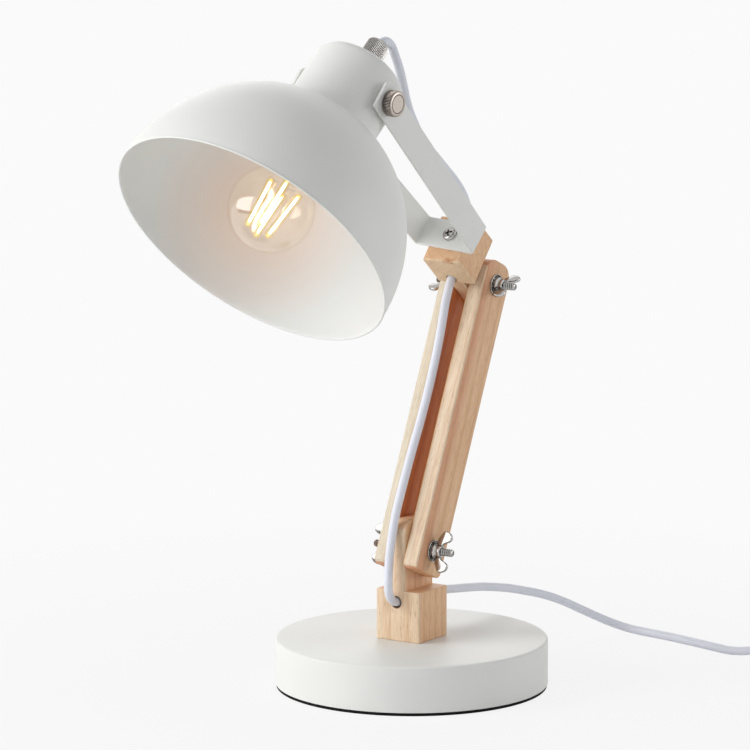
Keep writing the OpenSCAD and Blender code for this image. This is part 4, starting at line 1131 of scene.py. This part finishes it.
def white_paint(name, bulb=None, glow_at=None):
    """Paint with a slow drift of tone and gloss and a fine peel, with a painted glow of the bulb's light if a
    place is given.
    """
    material, tree, shader = finish_of(name, PAINT, 0.42)
    drift = grains(tree, even(0.045))
    tint = ramp(tree, drift, [(0.3, tuple(c * 0.975 for c in PAINT)), (0.7, tuple(c * 1.015 for c in PAINT))])
    colour = (tint, "Color") if glow_at is None else (painted_bulb_glow(tree, tint, bulb, glow_at), 2)
    feed(tree, shader.inputs["Base Color"], colour)
    feed(tree, shader.inputs["Roughness"], (between(tree, drift, 0.40, 0.50), "Result"))
    bumpy(tree, shader, grains(tree, even(0.0006)), 0.000012, 0.6)
    shader.inputs["Specular IOR Level"].default_value = 0.2
    return material

paint = white_paint("white_baked_paint")
# Painted light: the dome's paint is warmed by a glow that stands for the bulb's light, centred on the wall
# behind the bulb.
glow_paint = white_paint("white_paint_painted_glow", metres(shade_at, (0, 0, bulb_z)),
                        metres(shade_at, (-48, -45, 50)))
print("paint made:", paint.name, glow_paint.name)

# %% [markdown]
# ## Metal, plastic and cord
# Plated metal keeps faint marks from its turning, and its nooks are darkened by painted shade.
# Plastic, rubber, cast iron and the cord's skin each have a fine grain of their own size.

# %% Metal, plastic and cord
# Painted shade: colours for the nooks of metal, darkest where ambient occlusion is deepest.
NOOK_SHADE = [(0.40, (0.05, 0.045, 0.04)), (0.66, (0.45, 0.43, 0.41)), (0.90, WHITE)]

def plated(name, colour, dark, low, high, mark):
    """Metal between two tones by a noise of marks, shinier where it is paler, with painted shade that darkens
    its nooks.
    """
    material, tree, shader = finish_of(name, colour, 0.3, 1.0)
    marks = grains(tree, even(mark), 2.0, 0.6)
    tint = ramp(tree, marks, [(0.25, dark), (0.7, colour)])
    # Painted shade: ambient occlusion darkens the colour in nooks and crevices.
    nook = add(tree, "AmbientOcclusion", {"only_local": True, "samples": 8}, Distance=0.0012)
    nook_shade = ramp(tree, nook, NOOK_SHADE, "AO")
    shaded_tint = blend_colours(tree, (tint, "Color"), (nook_shade, "Color"), 1.0, MULTIPLY)
    feed(tree, shader.inputs["Base Color"], (shaded_tint, 2))
    shader.inputs["Specular Tint"].default_value = (0.2, 0.2, 0.2, 1)
    feed(tree, shader.inputs["Roughness"], (between(tree, marks, high, low), "Result"))
    bumpy(tree, shader, marks, 0.000008, 0.5)
    return material

def moulded(name, colour, low, high, grain=0.0007, peel=0.00001):
    """Plastic, rubber, porcelain or iron: a slow drift of tone, fine specks in its gloss and surface."""
    material, tree, shader = finish_of(name, colour, low)
    speck, broad = grains(tree, even(grain)), grains(tree, even(0.02))
    tint = ramp(tree, broad, [(0.3, tuple(c * 0.96 for c in colour)), (0.7, colour)])
    feed(tree, shader.inputs["Base Color"], (tint, "Color"))
    feed(tree, shader.inputs["Roughness"], (between(tree, speck, low, high), "Result"))
    bumpy(tree, shader, speck, peel, 0.6)
    return material

nickel = plated("nickel_plate", (0.58, 0.565, 0.545), (0.45, 0.435, 0.42), 0.10, 0.20, 0.0006)
warm_nickel = plated("warm_nickel", (0.56, 0.50, 0.455), (0.42, 0.37, 0.33), 0.26, 0.38, 0.0005)
steel = plated("bright_steel", (0.50, 0.49, 0.475), (0.37, 0.36, 0.35), 0.14, 0.26, 0.0004)
brass = plated("brass_shell", (0.78, 0.60, 0.28), (0.62, 0.44, 0.18), 0.25, 0.40, 0.0008)
iron = moulded("cast_weight", (0.20, 0.20, 0.205), 0.6, 0.8, 0.0015, 0.0001)
pad_rubber = moulded("dark_rubber", (0.010, 0.010, 0.010), 0.8, 0.95, 0.0009, 0.00005)
pad_rubber.node_tree.nodes["Principled BSDF"].inputs["Specular IOR Level"].default_value = 0.1
white_plastic = moulded("white_moulding", (0.80, 0.80, 0.79), 0.32, 0.42)
dark_plastic = moulded("dark_moulding", (0.035, 0.035, 0.036), 0.4, 0.55)
porcelain = moulded("lampholder_white", (0.78, 0.77, 0.74), 0.3, 0.45)
cord_skin = moulded("cord_skin", (0.765, 0.78, 0.855), 0.50, 0.60, 0.0012, 0.00002)
print("materials so far", len(bpy.data.materials))

# %% [markdown]
# ## Who wears what
# Several pieces wear the same material, and one table says which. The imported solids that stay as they
# are, hidden inside the lamp, get the finish of the real thing from a second table.

# %% Dress the pieces
WORN_BY = [
    (paint, [base_shell, bracket, cup]),
    (glow_paint, [dome]),
    (nickel, washers + nuts + [grip_cap, grip_base, screw, bulb_cap, plug_pins]),
    (warm_nickel, knobs),
    (steel, rods),
    (pad_rubber, [base_pad]),
    (white_plastic, [switch_top, switch_bottom, plug_body, rocker]),
    (dark_plastic, [coil_tie]),
    (cord_skin, leads + [run_cord, coil_cord])]
NODES_IN = [
    (iron, ["ballast"]),
    (steel, ["base_washer", "base_screw", "nipple", "nipple_nut"]),
    (porcelain, ["holder_body"]),
    (brass, ["holder_shell", "holder_contact"]),
    (dark_plastic, ["bulb_insulator"])]
for material, pieces in WORN_BY + [(m, [frame["nodes"][n] for n in nodes]) for m, nodes in NODES_IN]:
    for piece in pieces:
        wear(piece, material)
    print(material.name, "on", len(pieces))

# %% [markdown]
# ## Glass
# Clear glass mostly lets light through, and more of it reflects where the glass turns away from the
# eye, so the globe is a mix of a see-through and a mirror shader, whose share rises with the third
# power of how far the glass turns away. Light from the filaments passes it freely.

# %% Glass
def clear_glass(name, tint, edge, low, high, glow_strength):
    """See-through and mirror shaders; the colour seen through deepens from tint to edge as the wall turns
    away. A little painted glow is added, standing for the filaments' light caught in the coat."""
    material, tree, shader = finish_of(name, (1, 1, 1), 0.03)
    tree.nodes.remove(shader)
    away = add(tree, "LayerWeight", None, Blend=0.5)
    through = ramp(tree, away, [(0.0, tint), (0.80, tint), (0.97, edge)], "Facing")
    see = add(tree, "BsdfTransparent", None, Color=(through, "Color"))
    mirror = add(tree, "BsdfGlossy", None, Color=(1, 1, 1, 1), Roughness=0.04)
    bumpy(tree, mirror, grains(tree, (0.02, 0.02, 0.03), 1.0), 0.0002, 0.2)
    steep = add(tree, "Math", {"operation": "POWER"}, _0=(away, "Facing"), _1=3.0)
    share = between(tree, steep, low, high, 0.0, 1.0, "Value")
    both = add(tree, "MixShader", None, _0=(share, "Result"), _1=(see, "BSDF"), _2=(mirror, "BSDF"))
    # Painted light: a faint warm emission on the glass stands for the filaments' light caught in it.
    glass_glow = add(tree, "Emission", None, Color=(1.0, 0.60, 0.34, 1), Strength=glow_strength)
    whole = add(tree, "AddShader", None, _0=(both, "Shader"), _1=(glass_glow, "Emission"))
    feed(tree, tree.nodes["Material Output"].inputs["Surface"], (whole, 0))
    return material

wear(bulb_glass, clear_glass("amber_clear_glass", (1.0, 0.985, 0.955), (0.90, 0.82, 0.73), 0.10, 0.42, 0.012))
wear(stem, clear_glass("stem_glass", (0.94, 0.92, 0.88), (0.75, 0.70, 0.62), 0.08, 0.80, 0.0))
print("glass on", bulb_glass.name, "and", stem.name)

# %% [markdown]
# ## The lit filaments
# The filaments glow warm white in the middle and dark amber at their ends, by the height along the
# bulb's axis. Each halo is a see-through skin that glows most where it faces the eye and fades to
# nothing at its edge.

# %% Filaments
HEAT = [(0.0, (1.0, 0.92, 0.84)), (0.64, (1.0, 0.80, 0.58)), (0.74, (0.40, 0.24, 0.06)),
        (0.82, (0.19, 0.10, 0.012)), (1.0, (0.15, 0.07, 0.006))]
glow_material, tree, shader = finish_of("lit_filament", (0.9, 0.75, 0.4), 0.5)
shade_turn = Matrix(shade_at[0].tolist()).to_euler("XYZ")
along = place_on(tree, ONE, shade_turn, metres(shade_at, (0, 0, bulb_z)))
apart = add(tree, "SeparateXYZ", None, Vector=(along, "Vector"))
far = add(tree, "Math", {"operation": "ABSOLUTE"}, _0=(apart, "Z"))
heat = ramp(tree, between(tree, far, 0.0, 1.0, 9.0, 15.0, "Value"), HEAT, "Result")
feed(tree, shader.inputs["Emission Color"], (heat, "Color"))
shader.inputs["Emission Strength"].default_value = 13.0
wear(filaments, glow_material)

halo_material, tree, shader = finish_of("filament_halo", (1, 0.8, 0.3), 0.5)
tree.nodes.remove(shader)
clear = add(tree, "BsdfTransparent", None, Color=(1, 1, 1, 1))
glow = add(tree, "Emission", None, Color=(1.0, 0.70, 0.20, 1), Strength=1.0)
away = add(tree, "LayerWeight", None, Blend=0.5)
thick = between(tree, away, 0.42, 0.0, 0.15, 1.0, "Facing")
both = add(tree, "MixShader", None, _0=(thick, "Result"), _1=(clear, "BSDF"), _2=(glow, "Emission"))
feed(tree, tree.nodes["Material Output"].inputs["Surface"], (both, 0))
wear(halos, halo_material)
print("light on", filaments.name, "and", halos.name)

# %% [markdown]
# ## Floor and sky
# The lamp stands on plain white under a pale sky. The floor is part light of its own and part matt
# white, so it stays as pale as the background and still takes the lamp's soft shadow. Metal and glass
# see the same pale background as the camera does.

# %% Floor and sky
PALE, SKY_LIGHT = (0.956, 0.956, 0.956, 1.0), (0.97, 0.98, 1.0, 1)
FLOOR_HALF = 9

def flat_mesh(name, corners):
    """Mesh of one four-cornered face."""
    data = bpy.data.meshes.new(name)
    data.from_pydata(corners, [], [(0, 1, 2, 3)])
    return data

def bare_tree(block):
    """Node tree of a material or a world, with nothing in it."""
    block.use_nodes = True
    block.node_tree.nodes.clear()
    return block.node_tree

def seen_rays(tree):
    """1 for rays from the camera, and for those that a mirror or clear glass sends on, else 0."""
    rays = add(tree, "LightPath")
    largest = {"operation": "MAXIMUM"}
    either = add(tree, "Math", largest, _0=(rays, "Is Camera Ray"), _1=(rays, "Is Glossy Ray"))
    return add(tree, "Math", largest, _0=(either, 0), _1=(rays, "Is Transmission Ray"))

corners = [(x * FLOOR_HALF, y * FLOOR_HALF, 0) for x, y in [(-1, -1), (1, -1), (1, 1), (-1, 1)]]
floor = new_object("floor", flat_mesh("floor", corners))
floor_paint = bpy.data.materials.new("pale_floor")
floor.data.materials.append(floor_paint)
tree = bare_tree(floor_paint)
matt = add(tree, "BsdfDiffuse", None, Color=(0.9, 0.9, 0.9, 1))
glow = add(tree, "Emission", None, Color=PALE)
spot = add(tree, "TexCoord")
reach = add(tree, "VectorMath", {"operation": "LENGTH"}, _0=(spot, "Object"))
own = between(tree, reach, 0.88, 1.0, 0.12, 0.48, "Value")
share = add(tree, "Math", {"operation": "MULTIPLY"}, _0=(seen_rays(tree), 0), _1=(own, "Result"))
mixed = add(tree, "MixShader", None, _0=(share, 0), _1=(matt, 0), _2=(glow, 0))
add(tree, "OutputMaterial", None, _0=(mixed, 0))

sky = bpy.data.worlds.new("pale_sky")
bpy.context.scene.world = sky
tree = bare_tree(sky)
shown = add(tree, "Background", None, Color=PALE)
lit = add(tree, "Background", None, Color=SKY_LIGHT, Strength=0.43)
mixed = add(tree, "MixShader", None, _0=(seen_rays(tree), 0), _1=(lit, 0), _2=(shown, 0))
add(tree, "OutputWorld", None, _0=(mixed, 0))
print("floor and sky ready")

# %% [markdown]
# ## Lamps and cards
# Large soft lamps stand to the left, low and high, and weaker ones behind and to the right. Cards that
# only reflections see stand round the lamp: a bright one like a window on the left, and dark ones
# below it, in front and above. Without something dark to mirror, bright metal on white looks like
# plastic.

# %% Lamps and cards
AIM = (0.0, 0.0, 0.2)

def soft_lamp(name, spot, size, power):
    """Square area lamp at a spot, its back turned away from the point it aims at."""
    data = bpy.data.lights.new(name, "AREA")
    data.size = size
    data.energy = power
    lamp = new_object(name, data)
    away = np.subtract(spot, AIM) / np.linalg.norm(np.subtract(spot, AIM))
    side = np.cross([0, 0, 1], away) / np.linalg.norm(np.cross([0, 0, 1], away))
    lamp.matrix_world = standing(side, np.cross(away, side), away, spot)
    return lamp

def mirror_card(name, corners, strength):
    """Flat card that only reflections see: dark, or shining like a window."""
    card = new_object(name, flat_mesh(name, corners))
    for ray in ("camera", "diffuse", "shadow", "transmission"):
        setattr(card, "visible_" + ray, False)
    face, tree, shader = finish_of(name + "_face", (0.02, 0.018, 0.016), 0.5)
    shader.inputs["Emission Color"].default_value = (1, 1, 1, 1)
    shader.inputs["Emission Strength"].default_value = strength
    card.data.materials.append(face)

def upright(first, second, low, high):
    """Corners of an upright card between two places on the floor."""
    return [(*first, low), (*second, low), (*second, high), (*first, high)]

for name, spot, size, power, mirrored in [
        ("key_lamp", (-1.75, -1.75, 1.25), 1.25, 19.0, False),
        ("high_lamp", (-1.5, -1.3, 1.7), 1.2, 12.5, False),
        ("low_lamp", (-1.0, -2.3, 0.5), 0.9, 16.5, False),
        ("back_lamp", (-1.3, 1.9, 1.2), 1.4, 10.0, True),
        ("side_lamp", (2.0, 1.3, 0.6), 1.0, 11.0, True)]:
    soft_lamp(name, spot, size, power).visible_glossy = mirrored
mirror_card("dark_card", upright((-2.1, -1.2), (-0.4, -2.4), 0.02, 0.28), 0.0)
mirror_card("front_card", upright((-0.3, -2.5), (1.9, -1.9), 0.25, 1.9), 0.0)
mirror_card("top_card", [(0.1, -1.6, 2.4), (0.9, -1.6, 2.4), (0.9, 1.6, 2.4), (0.1, 1.6, 2.4)], 0.0)
mirror_card("window_card", upright((-2.5, -1.0), (-1.0, -2.5), 0.28, 2.9), 2.7)
print("lamps and cards ready")
